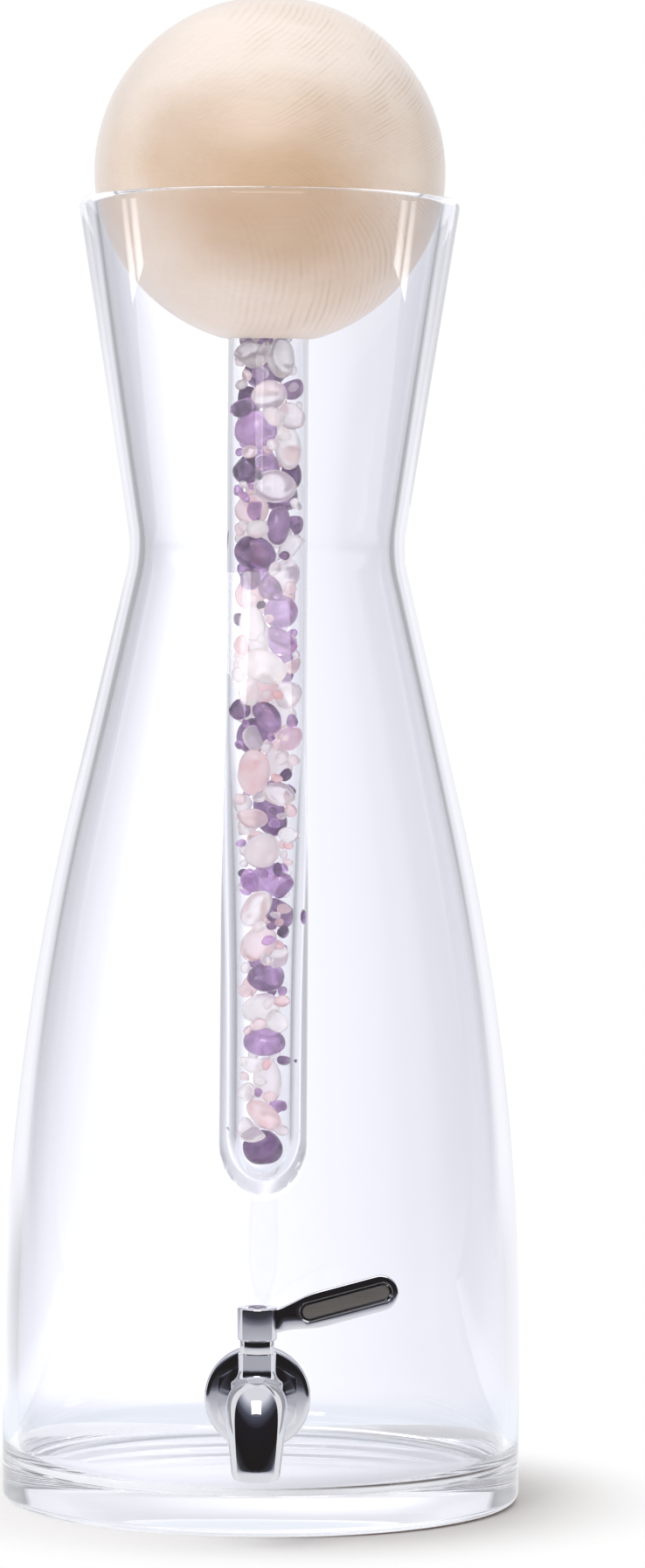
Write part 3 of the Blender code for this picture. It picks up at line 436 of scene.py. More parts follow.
carafe = dict(
    height=0.4455, baseRadius=0.0887, baseFillet=0.003, baseStraight=0.047,
    bellyArc=0.840, coneDegrees=13.2, waistFillet=0.040, flareDegrees=9.0,
    rimRadius=0.0654, rimWall=0.0057, wall=0.0050,
    floorThickness=0.012, floorFillet=0.009, pushUp=0.0006, pushUpRadius=0.074,
    washerCover=0.0045, holeClearance=0.0007, holeSpan=(0.06, 0.11), steps=168,
)


def waistOf(c):  # middle of the waist's fillet, outside the wall
    cone, flare = math.radians(c["coneDegrees"]), math.radians(c["flareDegrees"])
    coneRadius = c["baseRadius"] - c["bellyArc"] * (1 - math.cos(cone))
    coneHeight = c["baseStraight"] + c["bellyArc"] * math.sin(cone)
    fall = coneRadius + math.tan(cone) * coneHeight - c["rimRadius"] + math.tan(flare) * c["height"]
    cornerHeight = fall / (math.tan(cone) + math.tan(flare))
    cornerRadius = c["rimRadius"] - math.tan(flare) * (c["height"] - cornerHeight)
    reach = c["waistFillet"] * math.tan((cone + flare) / 2)
    startRadius = cornerRadius + reach * math.sin(cone)
    startHeight = cornerHeight - reach * math.cos(cone)
    return startRadius + c["waistFillet"] * math.cos(cone), startHeight + c["waistFillet"] * math.sin(cone)


def onArc(x, z, radius, degrees):
    turn = math.radians(degrees)
    return x + radius * math.cos(turn), z + radius * math.sin(turn)


def drawCarafe(c):
    bm = bmesh.new()
    cone, flare = c["coneDegrees"], c["flareDegrees"]
    waistX, waistZ = waistOf(c)
    bellyX = c["baseRadius"] - c["bellyArc"]
    footX = c["baseRadius"] - c["baseFillet"]
    lipDrop = c["rimWall"] / 2 * (1 + math.sin(math.radians(flare)))
    rimX = c["rimRadius"] - lipDrop * math.tan(math.radians(flare))
    rimZ = c["height"] - lipDrop
    lipX, lipZ = onArc(rimX, rimZ, -c["rimWall"] / 2, -flare)

    underside = lambda t: (c["pushUpRadius"] * t, c["pushUp"] * (1 + math.cos(math.pi * t)) / 2)
    pen = penAt(bm, 0, c["pushUp"])
    pen = curveTo(bm, pen, underside, 18)
    pen = lineTo(bm, pen, footX, 0)
    pen = arcTo(bm, pen, footX, c["baseFillet"], 90, 8)
    pen = lineTo(bm, pen, c["baseRadius"], c["baseStraight"])
    pen = arcTo(bm, pen, bellyX, c["baseStraight"], cone, 36)
    pen = lineTo(bm, pen, *onArc(waistX, waistZ, c["waistFillet"], 180 + cone))
    pen = arcTo(bm, pen, waistX, waistZ, -cone - flare, 20)
    pen = lineTo(bm, pen, rimX, rimZ)
    pen = arcTo(bm, pen, lipX, lipZ, 180, 14)
    pen = lineTo(bm, pen, *onArc(waistX, waistZ, c["waistFillet"] + c["wall"], 180 - flare))
    pen = arcTo(bm, pen, waistX, waistZ, cone + flare, 20)
    pen = lineTo(bm, pen, *onArc(bellyX, c["baseStraight"], c["bellyArc"] - c["wall"], cone))
    pen = arcTo(bm, pen, bellyX, c["baseStraight"], -cone, 36)
    floorX = c["baseRadius"] - c["wall"] - c["floorFillet"]
    floorZ = c["floorThickness"] + c["floorFillet"]
    pen = lineTo(bm, pen, c["baseRadius"] - c["wall"], floorZ)
    pen = arcTo(bm, pen, floorX, floorZ, -90, 12)
    lineThrough(bm, pen, *((floorX * share, c["floorThickness"]) for share in (0.75, 0.5, 0.25, 0)))
    return spinUpright(bm, c["steps"])


leverJoint = next(joint for joint in frame["joints"] if joint["name"] == "tap_lever")
valveFront = -leverJoint["pos_m"][1]
tapHeight = leverJoint["pos_m"][2]


def makeCarafe(c):
    shankRadius = uprightSpan("rear_washer")[2] - c["washerCover"]
    hole = layLevel(rodOf(shankRadius + c["holeClearance"], *c["holeSpan"], 64), tapHeight)
    wall = combined(drawCarafe(c), "DIFFERENCE", hole)
    addPiece("carafeGlass", wall, "carafe", carafeGlass, ["carafe_glass"], sharp=50)


makeCarafe(carafe)
print("carafe: done")


# Lid: a turned ball of pale wood with the vial's socket

lidBall = dict(
    steps=144, arcSteps=72, edge=0.0006, edgeDegrees=0.8, socketRim=0.0018, socketStep=0.0007, stopperRoom=0.0003,
    # the deeper wood colour is both the wood's own uneven tone and the colour of painted shade across the middle of
    # the ball's front; the tan side span fades that painted shade out towards the left and right
    paleWood=(0.840, 0.730, 0.650), deepWoodShade=(0.625, 0.415, 0.250), lineWood=(0.500, 0.325, 0.200),
    tanDrop=14, tanReach=(46, 2), tanShadeSide=(66, 6), tan=0.95,
    creaseHeight=0.0035, creaseSlope=-0.087, creaseClear=(1.0, 8.0), creaseLeast=0.35,
    fan=5.9, fanPower=0.67, sweep=52, sweepReach=15, lean=-0.3, ringSpacing=2.6, wander=0.0062, wanderScale=26.0,
    lineStrength=0.52, lineLeast=0.3, lineRise=(0.30, 0.88), lineFall=(0.88, 1.0),
    linesRight=(-38.0, 22.0), linesLeft=0.10, patchScale=90.0, patchSpan=(0.38, 0.64), patchLeast=0.08,
    fibreStretch=(0.10, 0.9, 0.9), fibreTurn=25, fibreSpan=(0.3, 0.7), fibreShade=(0.965, 1.02), fibreHeight=0.4,
    broadStretch=(0.45, 1, 1), broadScale=30.0, broadSpan=(0.30, 0.72), broadTo=(-0.20, 0.30),
    rough=(0.42, 0.54), sheen=0.3, sheenRoughness=0.45, coat=0.8, coatRoughness=0.35, coatIor=1.7,
    bump=0.25, bumpDepth=0.00012,
)


def makeWood(look, middle):
    material, tree, shader = newMaterial("paleWood")
    point = objectPoint(tree)
    slow = addNoise(tree, point, look["wanderScale"], 3.0).node.outputs["Color"]
    wander = addVector(tree, "SUBTRACT", {0: slow, 1: (0.5, 0.5, 0.5)})[0]
    wander = addVector(tree, "SCALE", {0: wander, "Scale": look["wander"]})[0]
    bent = addVector(tree, "ADD", {0: point, 1: wander})[0]
    # in millimetres from the ball's middle; the rings fan out above a crease and sweep down below it
    scaled = addNode(tree, "ShaderNodeMapping", {"Vector": bent, "Location": (0, 0, -1000 * middle),
                     "Scale": (1000, 1000, 1000)}).outputs[0]
    across, toFront, up = splitPoint(tree, scaled)
    crease = addMath(tree, "MULTIPLY_ADD", across, look["creaseSlope"], 1000 * look["creaseHeight"])
    over = addMath(tree, "SUBTRACT", up, crease)
    above, below = addMath(tree, "MAXIMUM", over, 0.0), addMath(tree, "MINIMUM", over, 0.0)
    fan = addMath(tree, "MULTIPLY", addMath(tree, "POWER", above, look["fanPower"]), look["fan"])
    fade = addMath(tree, "EXPONENT", addMath(tree, "DIVIDE", below, look["sweepReach"]))
    sweep = addMath(tree, "MULTIPLY", addMath(tree, "SUBTRACT", 1.0, fade), look["sweep"])
    layer = addMath(tree, "SUBTRACT", addMath(tree, "ADD", fan, sweep), across)
    layer = addMath(tree, "MULTIPLY_ADD", toFront, look["lean"], layer)
    rings = addMath(tree, "DIVIDE", layer, look["ringSpacing"])
    year, season = addMath(tree, "FLOOR", rings), addMath(tree, "FRACT", rings)
    chance = addNode(tree, "ShaderNodeTexWhiteNoise", {"W": year}, noise_dimensions="1D").outputs["Value"]
    strength = addMath(tree, "MULTIPLY_ADD", chance, 1 - look["lineLeast"], look["lineLeast"])
    rise = addStep(tree, season, look["lineRise"])
    fall = addStep(tree, season, look["lineFall"], (1.0, 0.0))
    clearOfCrease = addRange(tree, addMath(tree, "ABSOLUTE", over), look["creaseClear"], (look["creaseLeast"], 1.0))
    toRight = addStep(tree, across, look["linesRight"], (look["linesLeft"], 1.0))
    patchy = addNoise(tree, point, look["patchScale"], 3.0)
    patchy = addRange(tree, patchy, look["patchSpan"], (look["patchLeast"], 1.0))
    lines = addProduct(tree, rise, fall, strength, clearOfCrease, toRight, patchy, look["lineStrength"])

    stretched = addNode(tree, "ShaderNodeMapping", {"Vector": scaled, "Scale": look["fibreStretch"],
                        "Rotation": (0, math.radians(look["fibreTurn"]), 0)}).outputs[0]
    fibre = addNoise(tree, stretched, 1.0, 4.0)
    drawnOut = addNode(tree, "ShaderNodeMapping", {"Vector": point, "Scale": look["broadStretch"]}).outputs[0]
    broad = addNoise(tree, drawnOut, look["broadScale"], 3.0)
    patch = addRange(tree, broad, look["broadSpan"], look["broadTo"])
    # painted shade: a deeper tan band across the middle of the ball's front, where it faces the dark room, fading
    # to pale wood towards the left and right as painted sheen; the broad patches added to it are the wood's own
    # uneven tone
    fromTan = addMath(tree, "ABSOLUTE", addMath(tree, "ADD", over, look["tanDrop"]))
    tanShadeBand = addStep(tree, fromTan, look["tanReach"], (0.0, look["tan"]))
    shadeInward = addStep(tree, addMath(tree, "ABSOLUTE", across), look["tanShadeSide"])
    tanAndShade = addMath(tree, "MULTIPLY_ADD", tanShadeBand, shadeInward, patch)
    colour = addMix(tree, lines, addMix(tree, tanAndShade, look["paleWood"], look["deepWoodShade"]), look["lineWood"])
    shade = addRange(tree, fibre, look["fibreSpan"], look["fibreShade"])
    feed(tree, shader, {
        "Base Color": addVector(tree, "SCALE", {0: colour, "Scale": shade})[0],
        "Roughness": addRange(tree, fibre, (0.0, 1.0), look["rough"]),
        "Sheen Weight": look["sheen"], "Sheen Roughness": look["sheenRoughness"], "Coat Weight": look["coat"],
        "Coat Roughness": look["coatRoughness"], "Coat IOR": look["coatIor"],
    })
    height = addMath(tree, "SUBTRACT", addMath(tree, "MULTIPLY", fibre, look["fibreHeight"]), lines)
    addBump(tree, shader, height, look["bump"], look["bumpDepth"])
    return material


def makeLid(look):
    low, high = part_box("lid_ball")
    radius = (high.x - low.x) / 2
    middle = high.z - radius
    flatRadius = math.sqrt(radius**2 - (low.z - middle) ** 2)
    socketRadius = flatRadius - look["socketRim"]
    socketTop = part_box("vial_stopper")[1].z + look["stopperRoom"]
    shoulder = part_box("vial")[1].z
    start = math.degrees(math.atan2(low.z - middle, flatRadius)) + look["edgeDegrees"]
    bm = bmesh.new()
    wide = socketRadius + look["socketStep"]
    pen = lineThrough(bm, penAt(bm, 0, socketTop), (wide, socketTop), (wide, shoulder), (socketRadius, shoulder),
                      (socketRadius, low.z), (flatRadius - look["edge"], low.z), onArc(0, middle, radius, start))
    arcTo(bm, pen, 0, middle, 90 - start, look["arcSteps"])
    ball = spinUpright(bm, look["steps"])
    addPiece("lidBall", ball, "lid", makeWood(look, middle), ["lid_ball"])


makeLid(lidBall)
print("lid: done")


# Vial: a heavy round foot, and a bore that opens upwards

vial = dict(
    neckRadius=0.0138, bellyRadius=0.0151, roundHeight=0.020, bellyHeight=0.095, taperHeight=0.075,
    boreUpper=0.0126, boreLower=0.0093, boreFloor=0.007, boreRound=0.014, boreStraight=0.027,
    boreTaper=0.108, lipEdge=0.0004, footDrop=0.0018, steps=96,
)


def boreRadius(height):  # height above the vial's foot
    v = vial
    share = (height - v["boreFloor"] - v["boreRound"] - v["boreStraight"]) / v["boreTaper"]
    return v["boreLower"] + (v["boreUpper"] - v["boreLower"]) * min(1, max(0, share)) ** 2


def roundFoot(radius, height, low):  # a quarter ellipse, from its lowest point outwards
    def rule(share):
        turn = math.pi / 2 * share
        return radius * math.sin(turn), low + height * (1 - math.cos(turn))
    return rule


def makeVial(v):
    low, high, _ = uprightSpan("vial")
    bm = bmesh.new()
    tip = low - v["footDrop"]  # the heavy foot's glass
    bellyTop = low + v["bellyHeight"]
    swell = v["bellyRadius"] - v["neckRadius"]
    taper = lambda t: (v["bellyRadius"] - swell * t * t * (3 - 2 * t), bellyTop + v["taperHeight"] * t)
    taperLow = v["boreFloor"] + v["boreRound"] + v["boreStraight"]
    boreAt = lambda height: (boreRadius(height), low + height)
    bore = lambda t: boreAt(taperLow + v["boreTaper"] * (1 - t))
    foot = roundFoot(v["boreLower"], v["boreRound"], low + v["boreFloor"])
    pen = curveTo(bm, penAt(bm, 0, tip), roundFoot(v["bellyRadius"], v["roundHeight"], tip), 24)
    pen = lineTo(bm, pen, v["bellyRadius"], bellyTop)
    pen = curveTo(bm, pen, taper, 16)
    pen = lineThrough(bm, pen, (v["neckRadius"], high - v["lipEdge"]), (v["neckRadius"] - v["lipEdge"], high),
                      (v["boreUpper"], high), bore(0))
    pen = curveTo(bm, pen, bore, 24)
    pen = lineTo(bm, pen, *foot(1))
    curveTo(bm, pen, lambda t: foot(1 - t), 20)
    addPiece("vialGlass", spinUpright(bm, v["steps"]), "lid", vialGlass, ["vial"], sharp=50)


makeVial(vial)
print("vial: done")


# Stones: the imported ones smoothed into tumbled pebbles, with small chips in the gaps between them

stones = dict(
    chipCount=240, chipLeast=0.0016, chipMost=0.0056, clearFoot=0.008, topRoom=0.004, tries=30000, seed=41,
    flats=8, worn=(0.50, 0.88), wear=0.95, fineFrom=0.0028, stretch=(1.34, 1.12, 0.98), swell=(1.0, 1.1),
    lucent=0.7, cloudScale=160.0, cloudTwist=0.8, cloudDepth=1.9, veinScale=240.0, crackWidth=0.05, crack=0.12,
    crackColour=(0.95, 0.94, 0.96), hazeScale=300.0, smooth=0.03, hazy=0.13, ripple=0.15, rippleDepth=0.00008,
    kinds=dict(
        amethyst=dict(pale=(0.76, 0.50, 0.84), deep=(0.07, 0.004, 0.105), clear=0.86, ior=1.45,
                      share=0.34, tone=(1.0, 1.15)),
        rose_quartz=dict(pale=(0.98, 0.87, 0.89), deep=(0.94, 0.56, 0.57), clear=0.70, ior=1.34,
                         share=0.24, tone=(0.7, 1.9)),
        clear_quartz=dict(pale=(0.99, 0.97, 0.965), deep=(0.93, 0.87, 0.90), clear=0.72, ior=1.34,
                          share=0.42, tone=(0.9, 1.2)),
    ),
)


def makeQuartz(name, look):
    material, tree, shader = newMaterial(name)
    point = objectPoint(tree)
    tone = addNode(tree, "ShaderNodeAttribute", attribute_name="tone").outputs["Fac"]
    cloud = addNoise(tree, point, stones["cloudScale"], 4.0, Distortion=stones["cloudTwist"])
    vein = addNode(tree, "ShaderNodeTexVoronoi", {"Vector": point, "Scale": stones["veinScale"]},
                   feature="DISTANCE_TO_EDGE").outputs["Distance"]
    crack = addRange(tree, vein, (0.0, stones["crackWidth"]), (stones["crack"], 0.0))
    cloudy = addMath(tree, "MULTIPLY", addMath(tree, "SUBTRACT", cloud, 0.5), stones["cloudDepth"])
    colour = addMix(tree, addMath(tree, "ADD", tone, cloudy), look["pale"], look["deep"])
    colour = addMix(tree, crack, colour, stones["crackColour"])
    haze = addHaze(tree, stones["hazeScale"], stones["smooth"], stones["hazy"])
    feed(tree, shader, {"Base Color": colour, "Roughness": haze["Roughness"], "IOR": look["ior"],
         "Transmission Weight": look["clear"]})
    addBump(tree, shader, haze["Height"], stones["ripple"], stones["rippleDepth"])
    passLight(tree, shader, addMix(tree, stones["lucent"], colour, (1, 1, 1)))
    return material


quartz = {kind: makeQuartz(kind, look) for kind, look in stones["kinds"].items()}


def setTone(piece, values):
    tone = piece.data.attributes.new("tone", "FLOAT", "POINT")
    tone.data.foreach_set("value", np.asarray(values, dtype=np.float32))


def makeStones(rng):
    packed = bmesh.new()
    for node in sorted(name for name in cadNodes if name.startswith("stone_")):
        kind = node.split("_", 2)[2]
        packed.from_mesh(cadNodes[node].data)
        name = node.replace("stone_", "pebble_")
        piece = addPiece(name, mergedCopy(node), "lid", quartz[kind], [node], 180)
        setTone(piece, np.full(len(piece.data.vertices), rng.beta(*stones["kinds"][kind]["tone"])))
        smoother = piece.modifiers.new("tumbled", "SUBSURF")
        smoother.levels = 2
        smoother.render_levels = 2
    bmesh.ops.remove_doubles(packed, verts=packed.verts, dist=1e-6)
    return packed


def freeRadius(tree, spot):  # room round a spot, minus inside a stone
    place, normal, _, distance = tree.find_nearest(spot)
    return distance if (spot - place).dot(normal) > 0 else -distance


def chipPlaces(rng, packed):
    vialFoot = uprightSpan("vial")[0]
    low = vialFoot + vial["boreFloor"] + stones["clearFoot"]
    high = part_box("lid_ball")[0].z + stones["topRoom"]
    tree = BVHTree.FromBMesh(packed)
    found = []
    for _ in range(stones["tries"]):
        turn, height = rng.uniform(0, math.tau), rng.uniform(low, high)
        bore = boreRadius(height - vialFoot)
        aside = bore * math.sqrt(rng.uniform())
        spot = Vector((aside * math.cos(turn), aside * math.sin(turn), height))
        footRoom = (spot - Vector((0, 0, vialFoot + vial["boreFloor"]))).z
        room = min(bore - aside, footRoom, freeRadius(tree, spot))
        if room > stones["chipLeast"]:
            found.append((room, spot))
    found.sort(key=lambda item: -item[0])
    chosen = []
    for room, spot in found:
        room = min([room, stones["chipMost"]] + [(spot - other).length - size for size, other in chosen])
        if room > stones["chipLeast"]:
            chosen.append((room, spot))
        if len(chosen) == stones["chipCount"]:
            break
    return chosen


def addChip(bm, rng, room, spot):  # a small tumbled pebble with worn flats that fills its gap
    fine = 3 if room > stones["fineFrom"] else 2
    made = bmesh.ops.create_icosphere(bm, subdivisions=fine, radius=room)["verts"]
    sides = rng.normal(size=(stones["flats"], 3))
    sides /= np.linalg.norm(sides, axis=1)[:, None]
    worn = room * rng.uniform(*stones["worn"], stones["flats"])
    for side, limit in zip(sides, worn):
        side = Vector(side)
        for vert in made:
            vert.co -= side * max(0, vert.co.dot(side) - limit) * stones["wear"]
    for _ in range(2):
        bmesh.ops.smooth_vert(bm, verts=made, factor=0.5, use_axis_x=True, use_axis_y=True, use_axis_z=True)
    turn = Vector(rng.normal(size=3)).rotation_difference(Vector((0, 0, 1))).to_matrix()
    bmesh.ops.scale(bm, verts=made, vec=Vector(stones["stretch"]) * rng.uniform(*stones["swell"]))
    bmesh.ops.rotate(bm, verts=made, matrix=turn)
    shift(bm, spot, made)
    return len(made)


def makeChips(rng, packed):
    heaps = {kind: (bmesh.new(), []) for kind in stones["kinds"]}
    names = list(heaps)
    shares = [stones["kinds"][kind]["share"] for kind in names]
    places = chipPlaces(rng, packed)
    for room, spot in places:
        kind = names[rng.choice(len(names), p=shares)]
        heap, tones = heaps[kind]
        tones += [rng.beta(*stones["kinds"][kind]["tone"])] * addChip(heap, rng, room, spot)
    for kind, (heap, tones) in heaps.items():
        setTone(addPiece("chips_" + kind, heap, "lid", quartz[kind], sharp=180), tones)
    packed.free()
    print("chips:", len(places))


stoneDice = np.random.default_rng(stones["seed"])
makeChips(stoneDice, makeStones(stoneDice))
print("stones: done")


# Tap: rings and nut that clamp it in the wall

fixings = dict(
    bevel=0.00025, nutBevel=0.00015, shankBevel=0.0002, washerWidth=0.0042, clearance=0.0003, overlap=0.001,
    threadPitch=0.0015, threadDepth=0.0004, threadSteps=40, threadHalf=0.42, threadSink=0.0002,
    threadStart=0.0008, threadStop=0.004, hexChamfer=30, crownProud=0.0002,
    waterway=0.0050, spigotRadius=0.0072, tailChamfer=0.0006, roughBores=(0.0030, 0.0034, 0.0038),
)


def makeFixings(f):
    for node in ("front_gasket", "rear_gasket"):
        name = node.replace("_", "-") + "-ring"
        addPiece(name, mergedCopy(node), "carafe", clearSilicone, [node])
    back, front, radius = levelSpan("rear_washer")
    bore = radius - f["washerWidth"]
    washer = ringOf([(bore, back), (radius, back), (radius, front), (bore, front)], 72)
    addSteel("rear-washer", layLevel(roundEdges(washer, f["bevel"], 3), tapHeight), "carafe", "rear_washer")
    return bore


def hexWithCrown(f, acrossFlats, back, front, bore, bothEnds):
    flat = acrossFlats / 2
    corner = acrossFlats / math.sqrt(3)
    drop = (corner - flat) * math.tan(math.radians(f["hexChamfer"]))
    blank = [(bore, back), (flat if bothEnds else corner, back)]
    blank += [(corner, back + drop)] if bothEnds else []
    blank += [(corner, front - drop), (flat, front), (bore, front)]
    # the crown's blank stands a little proud, so that only the corners are turned down
    blank = [(r + f["crownProud"] if r > bore else r, z) for r, z in blank]
    prism = hexOf(acrossFlats, back - f["overlap"], front + f["overlap"])
    return combined(ringOf(blank, 96), "INTERSECT", prism)


def makeNut(f, bore):
    low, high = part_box("lock_nut")
    nut = hexWithCrown(f, high.x - low.x, -high.y, -low.y, bore, True)
    addSteel("lock-nut", layLevel(roundEdges(nut, f["nutBevel"], 2), tapHeight), "carafe", "lock_nut")


def makeThread(f, start, stop, sunk, crest):
    thread = bmesh.new()
    half = f["threadPitch"] * f["threadHalf"]
    corners = ((sunk, 0, start), (sunk, 0, start + 2 * half), (crest, 0, start + half))
    thread.faces.new([thread.verts.new(corner) for corner in corners])
    steps = int((stop - start) / f["threadPitch"] * f["threadSteps"])
    climb = (0, 0, f["threadPitch"] / f["threadSteps"])
    bmesh.ops.spin(thread, geom=thread.faces[:], cent=(0, 0, 0), axis=(0, 0, 1), dvec=climb,
                   angle=math.tau * steps / f["threadSteps"], steps=steps)
    bmesh.ops.recalc_face_normals(thread, faces=thread.faces)
    addPiece("shank-thread", layLevel(thread, tapHeight), "carafe", bareSteel)


def makeShank(f, bore):
    low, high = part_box("tap_shank")
    end, spigotFront = -high.y, -low.y
    hexBack = levelSpan("escutcheon")[1] + f["clearance"]
    hexFront = levelSpan("tap_body")[0] - f["clearance"]
    shankRadius = bore - f["clearance"]
    core = shankRadius - f["threadDepth"]
    lap, edge, wide = f["overlap"], f["tailChamfer"], f["spigotRadius"]
    # joined with bores of three sizes, and drilled in one go, so that no two faces lie on each other
    collarBore, tailBore, spigotBore = f["roughBores"]
    collar = hexWithCrown(f, high.x - low.x, hexBack, hexFront, collarBore, False)
    tail = ringOf([(tailBore, end), (core - edge, end), (core, end + edge), (core, hexBack + lap),
                   (tailBore, hexBack + lap)], 72)
    spigot = ringOf([(spigotBore, hexFront - lap), (wide, hexFront - lap), (wide, spigotFront),
                     (spigotBore, spigotFront)], 72)
    shank = combined(collar, "UNION", tail, spigot)
    shank = combined(shank, "DIFFERENCE", rodOf(f["waterway"], end - lap, spigotFront + lap, 72))
    addSteel("tap-shank", layLevel(roundEdges(shank, f["shankBevel"], 2), tapHeight), "carafe", "tap_shank")
    makeThread(f, end + f["threadStart"], hexBack - f["threadStop"], core - f["threadSink"], shankRadius)


shankBore = makeFixings(fixings)
makeNut(fixings, shankBore)
makeShank(fixings, shankBore)
print("fixings: done")


# Tap: escutcheon, body with its spout, and gland

tap = dict(
    edge=0.0004, rimEdge=0.0012, rimRound=0.0020, bulbRadius=0.0097, barrelRadius=0.00615,
    footFlare=0.0024, flareReach=0.0022, spoutStart=0.0030, spoutBend=0.0092, spoutSag=0.001, spoutReach=0.0130,
    spoutRoot=0.0102, spoutTip=0.0074, spoutSteps=44, lipLength=0.0017, lipRound=0.0012,
    outletWall=0.0014, outletDepth=0.011, voxel=0.00035, softening=16, overlong=0.003, glandBevel=0.00018,
)


def makeEscutcheon(t):
    back, front, radius = levelSpan("escutcheon")
    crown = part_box("tap_shank")[1].x
    edge = t["edge"]
    bm = bmesh.new()
    first = pen = penAt(bm, shankBore, back)
    pen = lineTo(bm, pen, radius - edge, back)
    pen = arcTo(bm, pen, radius - edge, back + edge, 90, 6)
    pen = lineTo(bm, pen, radius, back + t["rimEdge"])
    pen = arcTo(bm, pen, radius - t["rimRound"], back + t["rimEdge"], 90, 10)
    closeLine(bm, lineThrough(bm, pen, (crown, front), (shankBore, front)), first)
    addSteel("escutcheon-plate", layLevel(spinUpright(bm, 128), tapHeight), "carafe", "escutcheon", sharp=25)


def addSpout(bm, t, bottom):  # round sections along the bend, bridged one to the next
    drop = tapHeight - bottom + t["overlong"]
    first, corner = Vector((t["spoutStart"], 0)), Vector((t["spoutBend"], -t["spoutSag"]))
    last = Vector((t["spoutReach"], -drop))
    level = Matrix.Rotation(math.pi / 2, 4, "X")
    before = None
    for step in range(t["spoutSteps"] + 1):
        s = step / t["spoutSteps"]
        middle = (1 - s) ** 2 * first + 2 * s * (1 - s) * corner + s * s * last
        heading = ((1 - s) * (corner - first) + s * (last - corner)).normalized()
        radius = t["spoutRoot"] + (t["spoutTip"] - t["spoutRoot"]) * s * s
        lip = min(1, max(0, 1 - (tapHeight + middle.y - bottom) / t["lipLength"]))  # the mouth's edge is rounded
        radius -= t["lipRound"] * (1 - math.sqrt(1 - lip * lip))
        place = Matrix.Translation((0, -valveFront - middle.x, tapHeight + middle.y))
        lean = Matrix.Rotation(math.atan2(heading.y, heading.x), 4, "X").inverted()
        capped = step in (0, t["spoutSteps"])
        ring = bmesh.ops.create_circle(bm, cap_ends=capped, segments=64, radius=radius,
                                       matrix=place @ lean @ level)["verts"]
        edges = [edge for edge in dict.fromkeys(e for vert in ring for e in vert.link_edges)
                 if all(vert in ring for vert in edge.verts)]
        if before:
            bmesh.ops.bridge_loops(bm, edges=before + edges)
        before = edges


def makeTapBody(t):
    back, _, _ = levelSpan("tap_body")
    bottom, top, _ = uprightSpan("tap_body")
    bulb, wide, tail = bmesh.new(), t["bulbRadius"], back - t["overlong"]
    pen = lineThrough(bulb, penAt(bulb, 0, tail), (wide, tail), (wide, valveFront))
    arcTo(bulb, pen, 0, valveFront, 90, 24)
    shape = layLevel(spinUpright(bulb, 96), tapHeight)

    barrel, slim, end = bmesh.new(), t["barrelRadius"], top + t["overlong"]
    flareLow = tapHeight + wide - t["flareReach"]
    flare = lambda s: (slim + t["footFlare"] * (1 - s) ** 3, flareLow + 2 * t["flareReach"] * s)
    pen = lineThrough(barrel, penAt(barrel, 0, tapHeight), (slim + t["footFlare"], tapHeight), flare(0))
    lineThrough(barrel, curveTo(barrel, pen, flare, 12), (slim, end), (0, end))
    join(shape, shift(spinUpright(barrel, 64), (0, -valveFront, 0)))
    addSpout(shape, t, bottom)
    bmesh.ops.recalc_face_normals(shape, faces=shape.faces)

    body = fused(shape, t["voxel"], t["softening"])
    trimmed(body, (0, -back, 0), (0, 1, 0))
    trimmed(body, (0, 0, top), (0, 0, 1))
    outlet = trimmed(body, (0, 0, bottom), (0, 0, -1))
    bmesh.ops.inset_region(body, faces=outlet, thickness=t["outletWall"], use_even_offset=True)
    made = bmesh.ops.extrude_face_region(body, geom=outlet)["geom"]
    shift(body, (0, 0, t["outletDepth"]), vertsOf(made))
    bmesh.ops.delete(body, geom=outlet, context="FACES_ONLY")  # the mouth stays open
    addSteel("tap-body", body, "carafe", "tap_body", sharp=50)


def makeGland(t):
    addSteel("gland-ring", roundEdges(mergedCopy("gland_ring"), t["glandBevel"], 2, 40), "carafe", "gland_ring")


makeEscutcheon(tap)
makeTapBody(tap)
makeGland(tap)
print("tap: done")


# Lever: hub, arm with its inlay, screw

lever = dict(
    hubTaper=0.0002, hubRound=0.0009, footEdge=0.0003, dish=0.0003, dishWidth=0.0018, screwDown=0.0005,
    lean=2.5, tilt=15.5, rootHeight=0.0045, rootStart=0.001, reach=0.0455, neckWidth=0.0076, paddleWidth=0.0116,
    neckEnd=0.0075, paddleStart=0.0215, thickness=0.0040, bevel=0.0006,
    inlayStart=0.0175, inlayWidth=0.0049, inlayMargin=0.0026, inlayDepth=0.0010, inlayClearance=0.0003,
    inlaySink=0.0004, inlayBevel=0.00012, lipFlare=0.0017,
    inlayDark=(0.060, 0.057, 0.054), inlayPale=(0.110, 0.105, 0.100), inlayRough=(0.34, 0.52),
    brushing=(120, 900, 2600), brushBump=0.2, brushDepth=0.00003,
    screwRadius=0.0027, screwRoom=0.0003, wellDepth=0.0021, overcut=0.004,
    boltRadius=0.0012, headDepth=0.0016, headRound=0.0004, socketFlats=0.0026, socketDepth=0.0010, keyOver=0.002,
)


def onArm(bm, hubFoot):
    tilt = Matrix.Rotation(-math.radians(lever["tilt"]), 4, "Y")
    lean = Matrix.Rotation(-math.radians(lever["lean"]), 4, "X")
    place = Matrix.Translation((0, -valveFront, hubFoot + lever["rootHeight"]))
    bmesh.ops.transform(bm, matrix=place @ (tilt @ lean), verts=bm.verts)
    return bm


